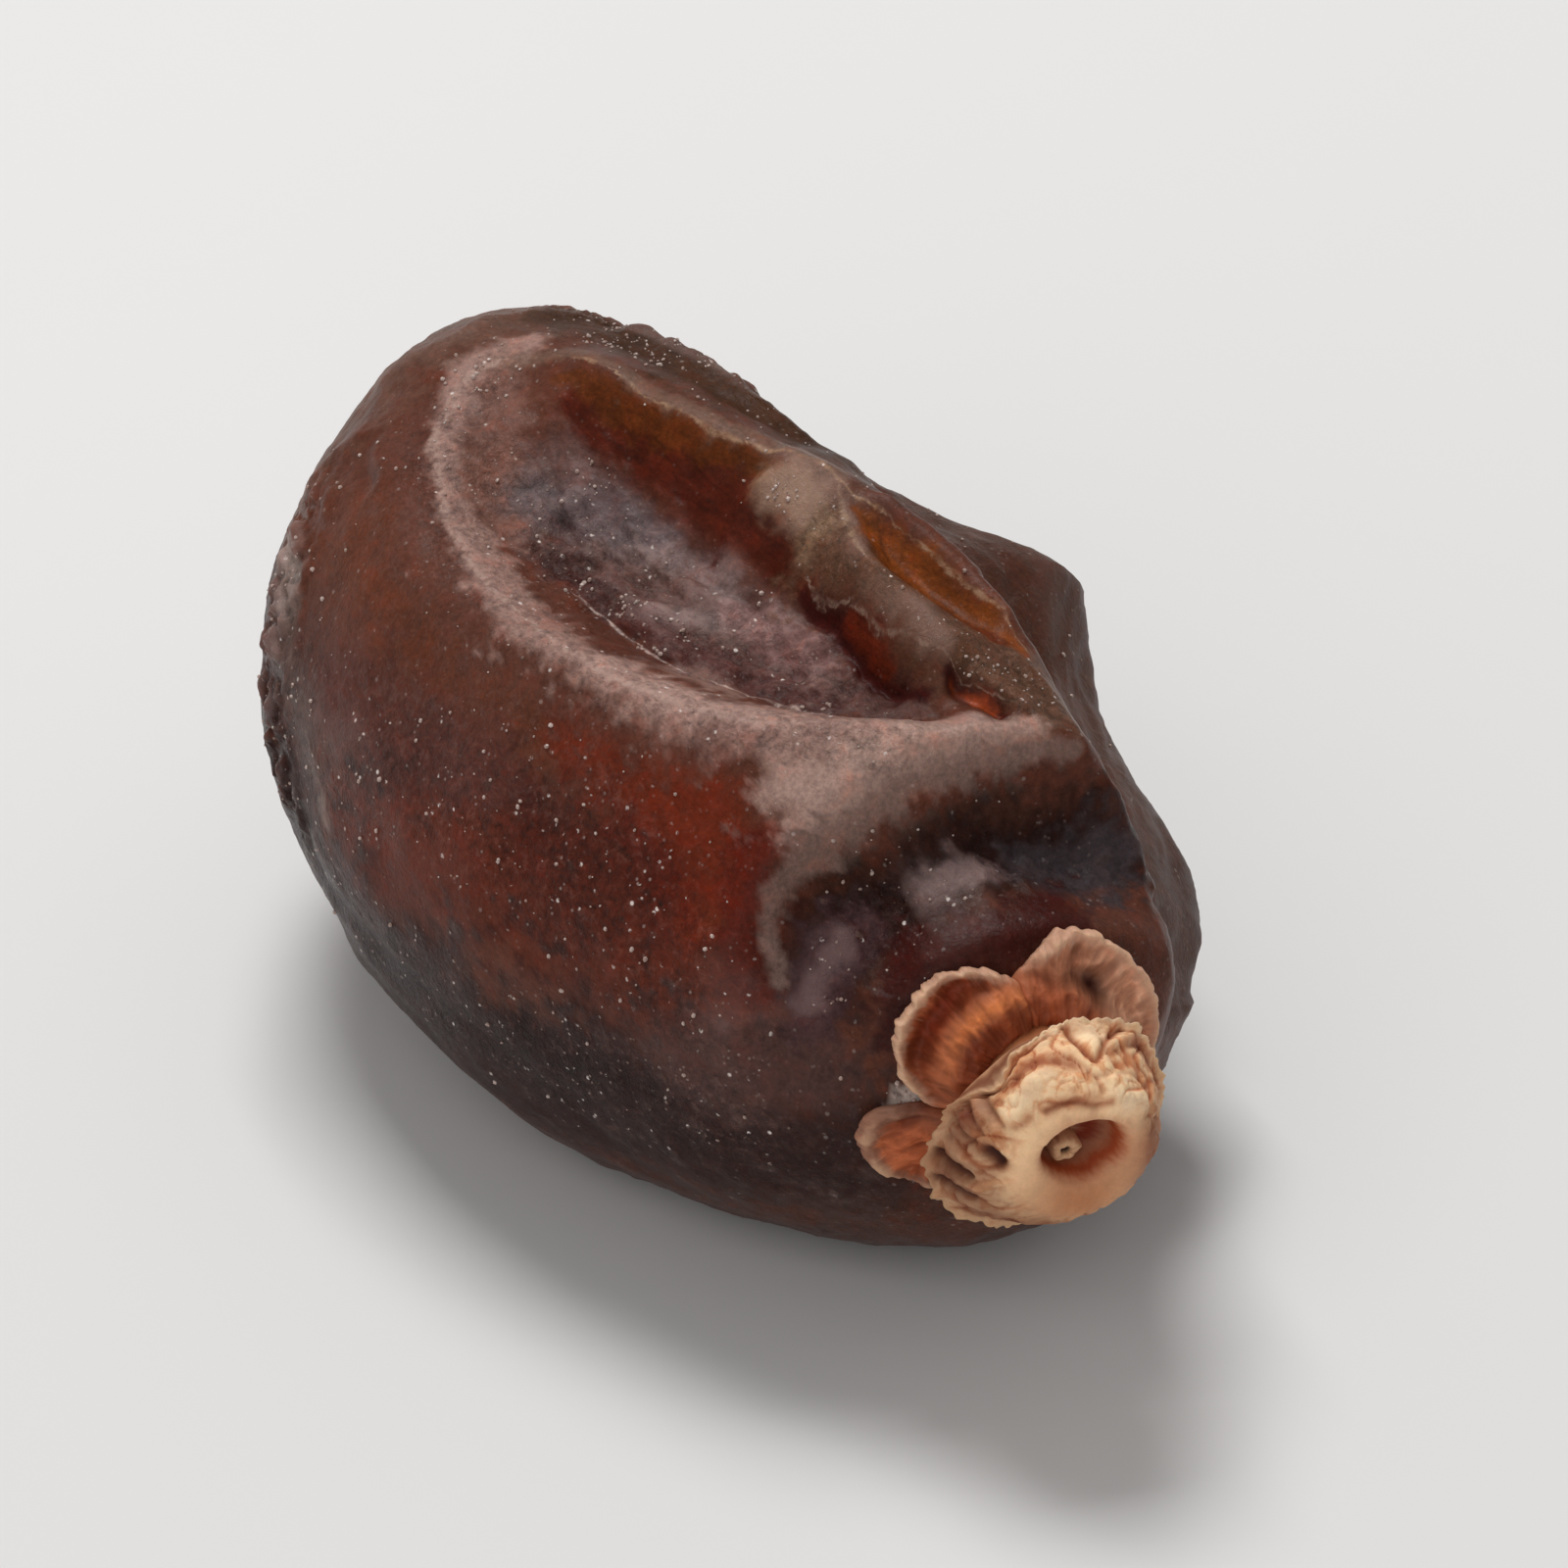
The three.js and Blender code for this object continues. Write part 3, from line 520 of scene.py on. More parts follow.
def place_vertices(mesh, points):
    """Moves a mesh's vertices to points in mm, and turns its faces outwards."""
    mesh.vertices.foreach_set("co", (points * MM).astype(np.float32).ravel())
    mesh.update()
    bm = bmesh.new()
    bm.from_mesh(mesh)
    bmesh.ops.recalc_face_normals(bm, faces=bm.faces[:])
    bm.to_mesh(mesh)
    bm.free()
    mesh.polygons.foreach_set("use_smooth", [True] * len(mesh.polygons))
    mesh.update()


def keep(mesh, name, values, kind="FLOAT", field="value"):
    """Stores numbers for the vertices, which materials read by their name."""
    layer = mesh.attributes.new(name, kind, "POINT")
    layer.data.foreach_set(field, np.asarray(values, np.float32).ravel())


def keep_tint(mesh, colours):
    """Stores the colours that the piece is painted with."""
    opaque = np.hstack([colours, np.ones((len(colours), 1))])
    keep(mesh, "tint", opaque, "FLOAT_COLOR", "color")


def led(colour, amount, goal):
    """Colours led towards one goal, or a goal for each, by amounts from 0 to 1."""
    return colour + amount[:, None] * (np.array(goal) - colour)


def add_piece(name, mesh, material, slot, *nodes):
    """Links a finished mesh as a piece of the object that stands for some CAD nodes."""
    piece = bpy.data.objects.new(name, mesh)
    bpy.context.scene.collection.objects.link(piece)
    mesh.materials.append(material)
    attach(piece, "root")
    if nodes:
        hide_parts(*nodes)
    return piece


# ---------------------------------------------------------------------------------------------
# The fruit

# the heights in mm from the deepest to the highest relief that the finishes tell apart
RELIEF_RANGE = {"skin": 0.8, "cup": 0.7, "petal": 0.6}


def skin_relief(points):
    """The height in mm that wrinkles, folds and crumbs add to the main form."""
    astray = wavy(points)
    relief = sum(ridge_at(astray, *fold) for fold in FOLDS.values())
    valley = np.clip(hollow_at(points, HOLLOWS["valley"][1]) / 2.2, 0, 1)
    saddle = np.clip(hollow_at(points, HOLLOWS["saddle"][1]) / 1.6, 0, 1)
    far = smooth_step((points[:, 1] + 1.0) / 6.0)
    rear = smooth_step((-points[:, 0] - 9.0) / 6.0)
    low = smooth_step((-points[:, 2] - 0.5) / 5.0)
    warp = np.stack([lumps(points, 4.0, 2, seed) for seed in (3.1, 17.7, 31.3)], 1)
    along = (points + 0.9 * warp) / np.array([3.6, 1.0, 1.0])
    relief += 0.16 * lumps(points, 4.6, 3, 5.0)
    wrinkle = creases(along, 1.5, 3, 9.0) - 0.55
    relief += wrinkle * (0.05 + 0.06 * valley + 0.14 * far + 0.10 * rear + 0.08 * low + 0.06 * saddle)
    small = creases(points + 0.5 * warp, 0.9, 2, 21.0) - 0.5
    relief += small * (0.025 + 0.09 * valley + 0.05 * far + 0.06 * rear + 0.03 * low)
    relief += valley * (0.26 * lumps(points, 1.2, 4, 51.0) + 0.10 * lumps(points, 0.5, 2, 57.0))
    relief += saddle * (0.09 * lumps(points, 0.9, 3, 53.0) + 0.06 * lumps(points, 0.4, 2, 59.0))
    crumbs = near_line(points, [(-12.5, 56), (-11, 70), (-10.4, 84), (-8.2, 100)], 2.6)
    crumbs = np.maximum(crumbs, 0.7 * near_line(points, [(-13, -14), (-9, -19), (-5, -19)], 1.4))
    relief += crumbs * (0.45 * np.maximum(lumps(points, 0.62, 2, 40.0), 0) ** 0.7)
    return relief


def zone_at(points, rows, straying, counted=1.0):
    """From 1 on a zone's rows to 0 at its half width. Straying moves its edge in or out, and
    counting less than all of the distance makes it wider."""
    distance, _, _, numbers = nearest(points, rows)
    return smooth_step(ZONE_FIRMNESS * (1 - counted * distance * (1 + straying) / numbers[:, 0]))


def painted(points, ragged):
    """The colour of the skin, how much dust lies on it, how granular it is and how clear."""
    colour = np.full((len(points), 3), PLAIN_SKIN)
    clear = np.zeros(len(points))
    for name, (tint, strength, rows) in SKIN_ZONES.items():
        amount = strength * zone_at(points, rows, 0.6 * ragged, 0.9)
        colour = led(colour, amount, tint)
        clear += amount * ((name in CLEAR_ZONES) - clear)
    dust = np.full(len(points), PLAIN_DUST)
    for amount, rows in DUST_ZONES.values():
        dust = np.maximum(dust, amount * zone_at(points, rows, 0.5 * ragged))
    granular = np.full(len(points), PLAIN_GRANULAR)
    for rows in GRANULAR_ZONES.values():
        granular = np.maximum(granular, zone_at(points, rows, 0.4 * ragged))
    return colour, dust * (1 - clear), granular * (1 - 0.8 * clear), clear


def edge_at(points, rows):
    """How far points lie to the left of an edge, less than 0 on its right, and how wide it is."""
    distance, on_left, share, numbers = nearest(points, rows)
    ends = smooth_step(np.minimum(share, 1 - share) / EDGE_FADE_SHARE) * (distance < EDGE_REACH)
    return np.where(on_left, distance, -distance), numbers[:, 0] * ends


def fruit_mesh():
    """The dried skin. Its faces are finest round the folds on top."""
    mesh, directions = ball_mesh("fruit_skin", SKIN_CUTS)
    directions = directions + FINEST_PULL * towards(*FINEST_SPOT)
    directions /= np.linalg.norm(directions, axis=1)[:, None]
    points, normals = plump(directions)
    relief = skin_relief(points)
    height = rise_at(points) - depth_at(points) + relief
    place_vertices(mesh, settle(points + normals * height[:, None]))
    astray = wavy(points)
    ragged = 0.7 * lumps(points, 2.4, 3, 60.0) + 0.8 * lumps(points, 0.6, 2, 63.0)
    ragged = ragged + 0.5 * lumps(points, 0.3, 2, 67.0)
    colour, dust, granular, clear = painted(astray, ragged)
    for name, (_, rows) in EDGES.items():
        side, width = edge_at(astray, rows)
        keep(mesh, name, side)
        keep(mesh, name + "_width", width)
    keep_tint(mesh, colour)
    keep(mesh, "clear", clear)
    keep(mesh, "dust", dust)
    keep(mesh, "granular", granular)
    keep(mesh, "relief", np.clip(0.5 + relief / RELIEF_RANGE["skin"], 0, 1))
    return mesh


# ---------------------------------------------------------------------------------------------
# The dry calyx stands in a frame of its own: +X out along the cup, +Z up, foot on the fruit's end.
# Angles round the cup turn from its top to its -Y side.

SEAT_STATION = 18.27
SEAT_ANGLE = 58
SEAT_STAND = 0.2            # the cup stands this far off, because the fruit's end is round
CUP_TURN = math.radians(-16)
CUP_DROOP = math.radians(6)
GAP = 0.3
CUP_LENGTH = 3.6
CUP_LEAN = 0.3              # how far the end of the cup lies towards +Y of its foot
CUP_SWELL = 0.09            # how much wider the cup is than its outline, all round
CUP_LOBE = 0.14             # and how much more on its fullest side, or less across from it
CUP_LOBE_ANGLE = math.radians(150)
CUP_SPIN_STEPS = 280

# The outline that the cup is spun from, from the foot over the flange and the ring into the scar
CUP_PROFILE = [
    (-0.5, 0.0), (-0.5, 1.6), (-0.45, 1.8), (0.2, 1.9), (0.75, 2.05), (1.05, 2.35), (1.22, 2.72),
    (1.32, 3.1), (1.42, 3.38), (1.54, 3.2), (1.78, 3.05), (2.15, 2.95), (2.6, 2.78), (3.0, 2.58),
    (3.35, 2.32), (3.62, 2.02), (3.76, 1.72), (3.72, 1.45), (3.5, 1.27), (3.15, 1.17), (2.8, 1.08),
    (2.58, 0.85), (2.5, 0.4), (2.48, 0.0)]
MARGIN_ROW = 8              # the outline's row at the torn edge
ROW_LENGTH = 0.40           # on the wall, a row of the outline is about this long
DEGREE_WIDTH = 0.052        # and a degree round the cup this wide
EDGE_STEPS = 6              # steps of the curve between two rows of the torn edge
LINE_STEPS = 5              # and of a crease or fold
ALL_ROUND = 999             # as a reach in degrees

# the torn edge: degrees round the cup, radius and height in mm, before the lobes are added
CUP_EDGE = [
    (-90, 3.38, 1.40), (-63, 3.46, 1.20), (-41, 3.50, 1.20), (-25, 3.26, 1.30), (0, 3.00, 1.35),
    (17, 2.86, 1.60), (31, 2.90, 1.95), (48, 2.56, 2.20), (61, 2.66, 1.85), (75, 2.90, 1.55),
    (89, 2.95, 1.45), (110, 3.35, 1.40), (135, 3.66, 1.40), (160, 3.62, 1.42), (200, 3.40, 1.40),
    (240, 3.34, 1.40), (270, 3.38, 1.40)]

# Creases, less than 0, and folds of the wall: height and half width in mm, rows of the outline's row
# and degrees
CUP_LINES = {
    "flake_groove": (-0.34, 0.11, [(9.0, -5), (11.0, -9), (12.3, -15), (10.9, -27), (9.1, -42)]),
    "flake": (0.26, 0.34, [(9.0, -14), (10.2, -19), (11.0, -20)]),
    "flake_fold": (-0.20, 0.12, [(11.7, -27), (11.0, -40), (9.4, -59)]),
    "flake_crest": (0.16, 0.16, [(10.9, -30), (10.2, -42), (9.1, -56)]),
    "bulge_left": (0.30, 0.45, [(13.9, 54), (13.4, 44), (12.9, 30), (12.6, 22)]),
    "hollow_left": (-0.26, 0.30, [(11.5, 40), (11.4, 26), (11.8, 12), (12.4, 2)]),
    "bulge_right": (0.26, 0.42, [(15.0, -22), (14.8, -38), (14.2, -56)]),
    "bulge_top": (0.14, 0.30, [(9.4, 12), (9.2, 4), (9.0, -2)]),
    "brow": (0.18, 0.22, [(17.0, 60), (17.2, 20), (17.2, -20), (17.0, -60)]),
    "edge_crease": (-0.20, 0.10, [(9.0, 60), (9.3, 44), (9.5, 24), (9.4, 8)]),
    "edge_crease_right": (-0.16, 0.10, [(9.2, -44), (9.6, -62), (9.4, -84)]),
    "brow_crease": (-0.26, 0.14, [(14.9, 36), (15.1, 18), (15.6, 4), (15.9, -8), (15.4, -22)]),
    "net_a": (-0.12, 0.09, [(12.6, -4), (13.6, -12), (13.2, -24), (12.4, -32)]),
    "net_b": (-0.12, 0.09, [(13.6, -12), (14.8, -14)]),
    "net_c": (-0.10, 0.09, [(13.2, -30), (12.6, -44), (12.8, -60)]),
    "spots": (-0.22, 0.13, [(14.3, 60), (14.6, 54), (14.5, 48)]),
    "red_crease_a": (-0.20, 0.12, [(8.8, 58), (10.6, 60), (12.4, 62), (13.6, 64)]),
    "red_crease_b": (-0.18, 0.11, [(8.8, 70), (10.8, 72), (12.6, 76)]),
    "red_crease_c": (-0.16, 0.10, [(8.8, 80), (10.6, 83), (12.4, 84)]),
    "pale_fold_a": (0.16, 0.12, [(9.2, 65), (10.8, 66), (12.0, 68)]),
    "dimple": (-0.40, 0.24, [(13.5, 85), (14.1, 88), (14.4, 91)]),
    "pale_fold_b": (0.16, 0.14, [(8.8, 93), (11.0, 96), (13.0, 97)]),
    "slit_a": (-0.34, 0.11, [(8.8, 104), (10.6, 104), (12.4, 106)]),
    "pale_fold_c": (0.16, 0.13, [(8.8, 111), (10.8, 112), (12.9, 113)]),
    "slit_b": (-0.32, 0.11, [(8.8, 118), (10.6, 119), (12.2, 122)]),
    "pale_fold_d": (0.14, 0.13, [(8.8, 126), (10.6, 128), (12.4, 130)]),
    "low_crease": (-0.16, 0.13, [(9.0, 140), (11.0, 146), (12.6, 150)]),
    "back_crease_a": (-0.18, 0.14, [(8.8, 210), (11.0, 214), (13.4, 212)]),
    "back_crease_b": (-0.16, 0.12, [(8.8, 236), (11.0, 240), (13.0, 236)]),
}

# rows of linear colour, strength, the outline's row, reach in rows, degrees and reach in degrees
CUP_ZONES = [
    ((0.30, 0.090, 0.030), 1.0, 3.0, 4.0, 0, ALL_ROUND),
    ((0.15, 0.032, 0.012), 0.9, 6.8, 0.9, 0, ALL_ROUND),
    # the lower wall: the husk's dark brown with painted shade
    ((0.20, 0.058, 0.022), 0.95, 12.0, 4.0, 158, 46),
    ((0.30, 0.100, 0.042), 0.9, 12.0, 4.0, 236, 42),
    ((0.15, 0.042, 0.017), 0.9, 10.8, 2.8, 110, 24),
    ((0.17, 0.032, 0.011), 0.95, 11.0, 2.6, 74, 22),
    ((0.52, 0.210, 0.090), 0.8, 13.4, 1.0, 74, 12),
    ((0.60, 0.230, 0.090), 0.85, 11.4, 0.9, 26, 18),
    # this row and the next three are painted highlights: paler spots on the upper wall
    ((0.98, 0.690, 0.420), 0.9, 13.4, 1.1, 42, 15),
    ((0.98, 0.700, 0.440), 0.9, 9.0, 0.9, 4, 12),
    ((0.98, 0.710, 0.450), 0.9, 14.6, 1.2, -40, 18),
    ((0.98, 0.710, 0.450), 0.95, 9.9, 1.0, -22, 12),
    ((0.46, 0.130, 0.045), 0.85, 15.2, 0.6, 12, 24),
    # an orange-red line by the torn edge: a crease's colour with painted shade of the gap beside the
    # petals
    ((0.46, 0.130, 0.042), 0.9, 9.3, 0.60, 34, 26),
    ((0.44, 0.130, 0.045), 0.9, 9.8, 0.9, -66, 24),
    ((0.62, 0.340, 0.190), 0.8, 17.0, 0.9, -10, 70),
    ((0.46, 0.175, 0.072), 0.9, 16.4, 1.6, 178, 60),
    # painted shade on the ring's +Y side
    ((0.26, 0.076, 0.030), 0.9, 15.2, 2.2, 262, 38),
    ((0.85, 0.580, 0.380), 0.85, MARGIN_ROW, 0.5, -20, 70),
    ((0.30, 0.130, 0.062), 0.85, MARGIN_ROW, 0.5, 90, 40),
    ((0.34, 0.052, 0.010), 0.97, 19.0, 1.6, 0, ALL_ROUND),
    ((0.19, 0.021, 0.005), 1.0, 21.6, 2.1, 0, ALL_ROUND),
]
SCAR_SQUASH = 0.84          # the scar is lower than it is wide
CUP_COLOUR = (1.0, 0.66, 0.38)
# painted shade in the dimple and the slits of the wall
SLIT_SHADE = (0.050, 0.012, 0.005)
# painted highlight on the wall's raised folds: its colour lightened by the first factor below, no paler
# than this
FOLD_HIGHLIGHT_PALEST = (0.98, 0.72, 0.46)
# these multiply the wall's colour
FOLD_HIGHLIGHT_GAIN = np.array((1.5, 1.55, 1.6))
BLOTCH_SHADE = np.array((0.74, 0.48, 0.34))
NET_SHADE = np.array((0.58, 0.22, 0.09))
CREASE_SHADE = np.array((0.40, 0.16, 0.09))

PETAL_INNER = 1.1
PETAL_CLIMB = (3.3, 2.1)    # from the first to the second distance from the axis, a petal climbs
PETAL_LIFT = 0.3
PETAL_UNDER = -0.1          # its underside lies in the skin's wrinkles
PETAL_TOP = 0.62
PETAL_FULLNESS = 0.4
PIT = 1.0                   # a painted spot of this amount is a pit as well
PIT_DEPTH = 0.35
PETAL_COLOUR = (0.44, 0.135, 0.056)
PETAL_UNDERSIDE = (0.09, 0.035, 0.022)
PLEAT_SHADE = np.array((0.50, 0.30, 0.22))      # multiplies the petal's colour

# node: degrees of the middle of its base and of its tip, half spread in degrees, reach in mm from
# the cup's axis, squareness, where 2 is an oval, more has full corners and less is pointed; how
# much wider it is at its foot, how far it climbs up the cup there, and the depth of its hollow
PETALS = {
    "petal_top": (-63, -56, 44, 4.35, 3.0, 0.65, 0.5, 0.16),
    "petal_near": (49, 54, 37, 3.75, 3.0, 0.55, 0.7, 0.34),
    "petal_under": (138, 115, 28, 4.85, 1.8, 0.20, 1.0, 0.12),
}

# node: rows of linear colour, amount, middle and reach along the petal, middle and reach across
PETAL_ZONES = {
    "petal_top": [
        ((0.97, 0.560, 0.360), 0.95, 0.66, 0.36, 0.1, 0.70),
        ((0.36, 0.085, 0.030), 0.9, 0.08, 0.25, -0.6, 0.6),
        ((0.40, 0.130, 0.060), 0.8, 0.50, 0.50, 0.95, 0.25),
        ((0.050, 0.006, 0.002), 1.0, 0.44, 0.15, -0.26, 0.22),
    ],
    "petal_near": [
        ((0.74, 0.220, 0.062), 0.9, 0.20, 0.16, 0.3, 0.6),
        # painted shade where the petal runs under the cup's margin
        ((0.20, 0.034, 0.011), 0.9, 0.0, 0.13, 0.0, 0.9),
        ((0.30, 0.046, 0.016), 0.95, 0.60, 0.19, 0.1, 0.7),
    ],
    "petal_under": [
        ((0.50, 0.120, 0.040), 0.95, 0.50, 0.50, 0.0, 0.9),
        ((0.17, 0.050, 0.026), 0.8, 0.50, 0.60, 0.9, 0.3),
    ],
}
PETAL_RIMS = {
    "petal_top": (0.62, 0.360, 0.240),
    "petal_near": (0.56, 0.330, 0.220),
    "petal_under": (0.26, 0.130, 0.084),
}


def calyx_frame():
    """The matrix of the calyx's own frame, in mm."""
    seat = main_skin(towards(SEAT_STATION, SEAT_ANGLE))[0][0]
    turned = Matrix.Rotation(CUP_TURN, 4, "Z") @ Matrix.Rotation(CUP_DROOP, 4, "Y")
    return Matrix.Translation(seat) @ turned @ Matrix.Translation((SEAT_STAND, 0, 0))


def bell(values, middle, reach):
    """1 at the middle, falling softly to nothing about twice the reach away."""
    return np.exp(-((values - middle) / reach) ** 2)


def turn_bell(turn, degrees, reach):
    """The same round the cup, where the ends of the turn meet."""
    away = (turn - math.radians(degrees) + math.pi) % (2 * math.pi) - math.pi
    return np.exp(-(np.degrees(away) / reach) ** 2)


def grain_points(turn, along, girth=4.0, stretch=0.3):
    """Points in which a pattern runs on as fibres, out from the cup's axis."""
    return np.stack([girth * np.cos(turn), girth * np.sin(turn), stretch * along], 1)


def keep_fibres(mesh, colours, grain, relief, fibrous):
    """Stores what the finish of dry fibre reads from a piece of the calyx."""
    keep_tint(mesh, colours)
    keep(mesh, "grain", grain, "FLOAT_VECTOR", "vector")
    keep(mesh, "relief", np.clip(relief, 0, 1))
    keep(mesh, "fibrous", fibrous)


def spun_mesh(name, rows, steps, spin_steps):
    """A closed shape spun round the X axis from a smooth outline through rows of x and radius, and
    for each vertex its x and radius, its row of the outline and its turn."""
    profile = smooth_rows(rows, steps)
    profile[:, 1] = np.maximum(profile[:, 1], 0)
    bm = bmesh.new()
    made = [bm.verts.new((x, 0, radius)) for x, radius in profile]
    edges = [bm.edges.new(pair) for pair in zip(made, made[1:])]
    bmesh.ops.spin(
        bm, geom=made + edges, cent=(0, 0, 0), axis=(1, 0, 0), angle=2 * math.pi,
        steps=spin_steps, use_merge=True)
    bmesh.ops.remove_doubles(bm, verts=bm.verts[:], dist=1e-4)
    mesh = mesh_of(bm, name)
    points = vertex_array(mesh)
    flat = np.stack([points[:, 0], np.hypot(points[:, 1], points[:, 2])], 1)
    apart = ((flat[:, None, :] - profile[None, :, :]) ** 2).sum(2)
    return mesh, flat.T, apart.argmin(1) / steps, np.arctan2(-points[:, 1], points[:, 2])


def cup_degrees(turn):
    """Turns in degrees, from -90 to 270 as in the cup's tables."""
    return (np.degrees(turn) + 90) % 360 - 90


def round_rows(turn, rows):
    """The further numbers of rows round the cup, at turns."""
    table = smooth_rows(rows, EDGE_STEPS)
    return [np.interp(cup_degrees(turn), table[:, 0], column) for column in table.T[1:]]


def cup_line(row, turn, half_width, rows):
    """1 on a line on the cup's wall, and next to nothing from twice its half width away on."""
    scale = np.array((ROW_LENGTH, DEGREE_WIDTH))
    curve = smooth_rows(rows, LINE_STEPS) * scale
    spot = np.stack([row, cup_degrees(turn)], 1) * scale
    away = np.full(len(row), np.inf)
    for a, b in zip(curve, curve[1:]):
        share = np.clip((spot - a) @ (b - a) / ((b - a) @ (b - a)), 0, 1)
        away = np.minimum(away, np.linalg.norm(spot - a - share[:, None] * (b - a), axis=1))
    return np.exp(-(away / half_width) ** 2)


def cup_mesh():
    """The woody cup: a torn, papery margin, a creased wall, and a smooth ring round the scar."""
    mesh, (x, radius), row, turn = spun_mesh(
        "calyx_cup_husk", CUP_PROFILE, STEPS_PER_SPAN, CUP_SPIN_STEPS)
    grain = grain_points(turn, 6.0 * row)
    margin = bell(row, MARGIN_ROW, 0.9)
    wall = smooth_step((row - 8.2) / 1.0) * smooth_step((16.0 - row) / 2.5)
    ring = smooth_step((row - 14.5) / 1.5) * smooth_step((19.0 - row) / 1.5)
    scar = smooth_step((row - 17.0) / 1.5)
    around = grain_points(turn, 0 * row, 1.6, 0)
    ragged = lumps(around, 0.9, 4, 2.0)
    shreds = lumps(grain_points(turn, row, 5.0, 0.10), 0.35, 3, 12.0)
    fine = lumps(grain_points(turn, row, 4.0, 0.5), 0.5, 3, 8.0)
    edge_radius, edge_height = round_rows(turn, CUP_EDGE)
    reach = np.where(row < MARGIN_ROW, 1.8, 3.2)
    pulled = bell(row, MARGIN_ROW, reach)
    plain_height, plain_radius = CUP_PROFILE[MARGIN_ROW]
    radius = radius + pulled * (edge_radius - plain_radius) + margin * (0.10 * ragged + 0.15 * shreds)
    curled = bell(row, MARGIN_ROW, 1.4) * 0.14 * lumps(around, 0.8, 3, 31.0)
    x = x + pulled * (edge_height - plain_height) + curled
    lines = {name: cup_line(row, turn, *line) for name, (_, *line) in CUP_LINES.items()}
    heights = {name: line[0] for name, line in CUP_LINES.items()}
    cuts = sum(line * -heights[name] for name, line in lines.items() if heights[name] < 0)
    folds = sum(line * heights[name] for name, line in lines.items() if heights[name] > 0)
    slant = grain_points(turn + 0.10 * row, row, 3.2, 0.22)
    papery = creases(slant, 0.9, 3, 5.0) - 0.5
    broad = lumps(grain_points(turn, row, 2.4, 0.30), 0.9, 3, 13.0)
    left = turn_bell(turn, 95, 42)
    web = grain_points(turn + 0.05 * ragged, row, 3.0, 0.42)
    net = np.maximum(
        smooth_step(1 - np.abs(lumps(web, 1.6, 2, 71.0)) / 0.09),
        0.6 * smooth_step(1 - np.abs(lumps(web, 0.9, 2, 77.0)) / 0.08)) * wall
    relief = wall * ((0.03 + 0.07 * left) * papery + 0.09 * broad + 0.05 * fine) - 0.07 * net
    relief += (0.60 * folds - (0.40 + 0.25 * left) * cuts) * smooth_step((row - 7.9) / 0.6)
    relief += ring * (0.05 * lumps(grain_points(turn, row, 2.2, 0.12), 1.4, 2, 44.0) + 0.015 * fine)
    relief += scar * 0.03 * fine
    # outwards from the outline is away from the axis on the wall and along it on the ring
    out = 1.3 * smooth_step((row - 12.5) / 4.0)
    radius = np.maximum(radius + relief * np.cos(out) * (1 - 0.8 * scar), 0)
    x = x + relief * np.sin(out) * (1 - scar)
    share = np.clip((x - GAP) / CUP_LENGTH, 0, 1)
    outer = smooth_step((row - 3.6) / 2.4) * smooth_step((radius - 1.2) / 0.8)
    lobes = 1 + outer * (CUP_SWELL + CUP_LOBE * np.cos(turn - CUP_LOBE_ANGLE))
    squash = 1 - (1 - SCAR_SQUASH) * smooth_step((row - 15.6) / 1.8)
    local = np.stack([
        x, -radius * np.sin(turn) * lobes + CUP_LEAN * share * share,
        radius * np.cos(turn) * lobes * squash], 1)
    place_vertices(mesh, carried(local, calyx_frame()))
    colour = np.full((len(row), 3), CUP_COLOUR)
    for tint, strength, middle, reach, degrees, spread in CUP_ZONES:
        round_it = 1.0 if spread == ALL_ROUND else turn_bell(turn, degrees, spread)
        amount = strength * bell(row + 0.5 * ragged + 0.3 * fine, middle, reach) * round_it
        colour = led(colour, amount, tint)
    blotch = lumps(grain_points(turn, row, 3.4, 0.42), 0.42, 3, 27.0)
    blotch = 0.7 * wall * smooth_step((blotch + 0.02) / 0.30) * smooth_step(1 - 2.5 * folds)
    colour = led(colour, blotch, colour * BLOTCH_SHADE)
    colour = led(colour, 0.8 * net, colour * NET_SHADE)
    # painted shade in the creases and in the troughs of the papery wrinkles, and a painted highlight on
    # the raised folds
    dark = np.clip(2.6 * cuts + 1.5 * wall * np.maximum(-papery - 0.16, 0), 0, 0.9)
    lit = np.clip(2.0 * folds - 1.2 * dark, 0, 0.7) * wall
    colour = led(colour, lit, np.minimum(colour * FOLD_HIGHLIGHT_GAIN, FOLD_HIGHLIGHT_PALEST))
    colour = led(colour, dark, colour * CREASE_SHADE)
    # painted shade: near black in the dimple and the two slits
    deep = np.clip(lines["dimple"] + 0.8 * lines["slit_a"] + 0.8 * lines["slit_b"], 0, 0.95)
    colour = led(colour, deep, SLIT_SHADE)
    fibrous = np.clip(0.5 - 0.35 * ring - 0.1 * scar, 0, 1)
    keep_fibres(mesh, colour, grain, 0.5 + relief / RELIEF_RANGE["cup"], fibrous)
    return mesh


def end_directions(points):
    """Directions from the fruit's middle to the spots on its stalk end behind points."""
    size = bpy.context.scene.date_fruit
    local = carried(points, lie().inverted())
    across = local[:, 1:] / (np.array([size.width, size.height]) / (2 * MM))
    reach = np.hypot(*across.T)
    sine = np.minimum(reach, 0.999) ** (1 / BLUNTNESS)
    lateral = across * (sine / reach)[:, None]
    return np.column_stack([np.sqrt(1 - sine * sine), lateral])


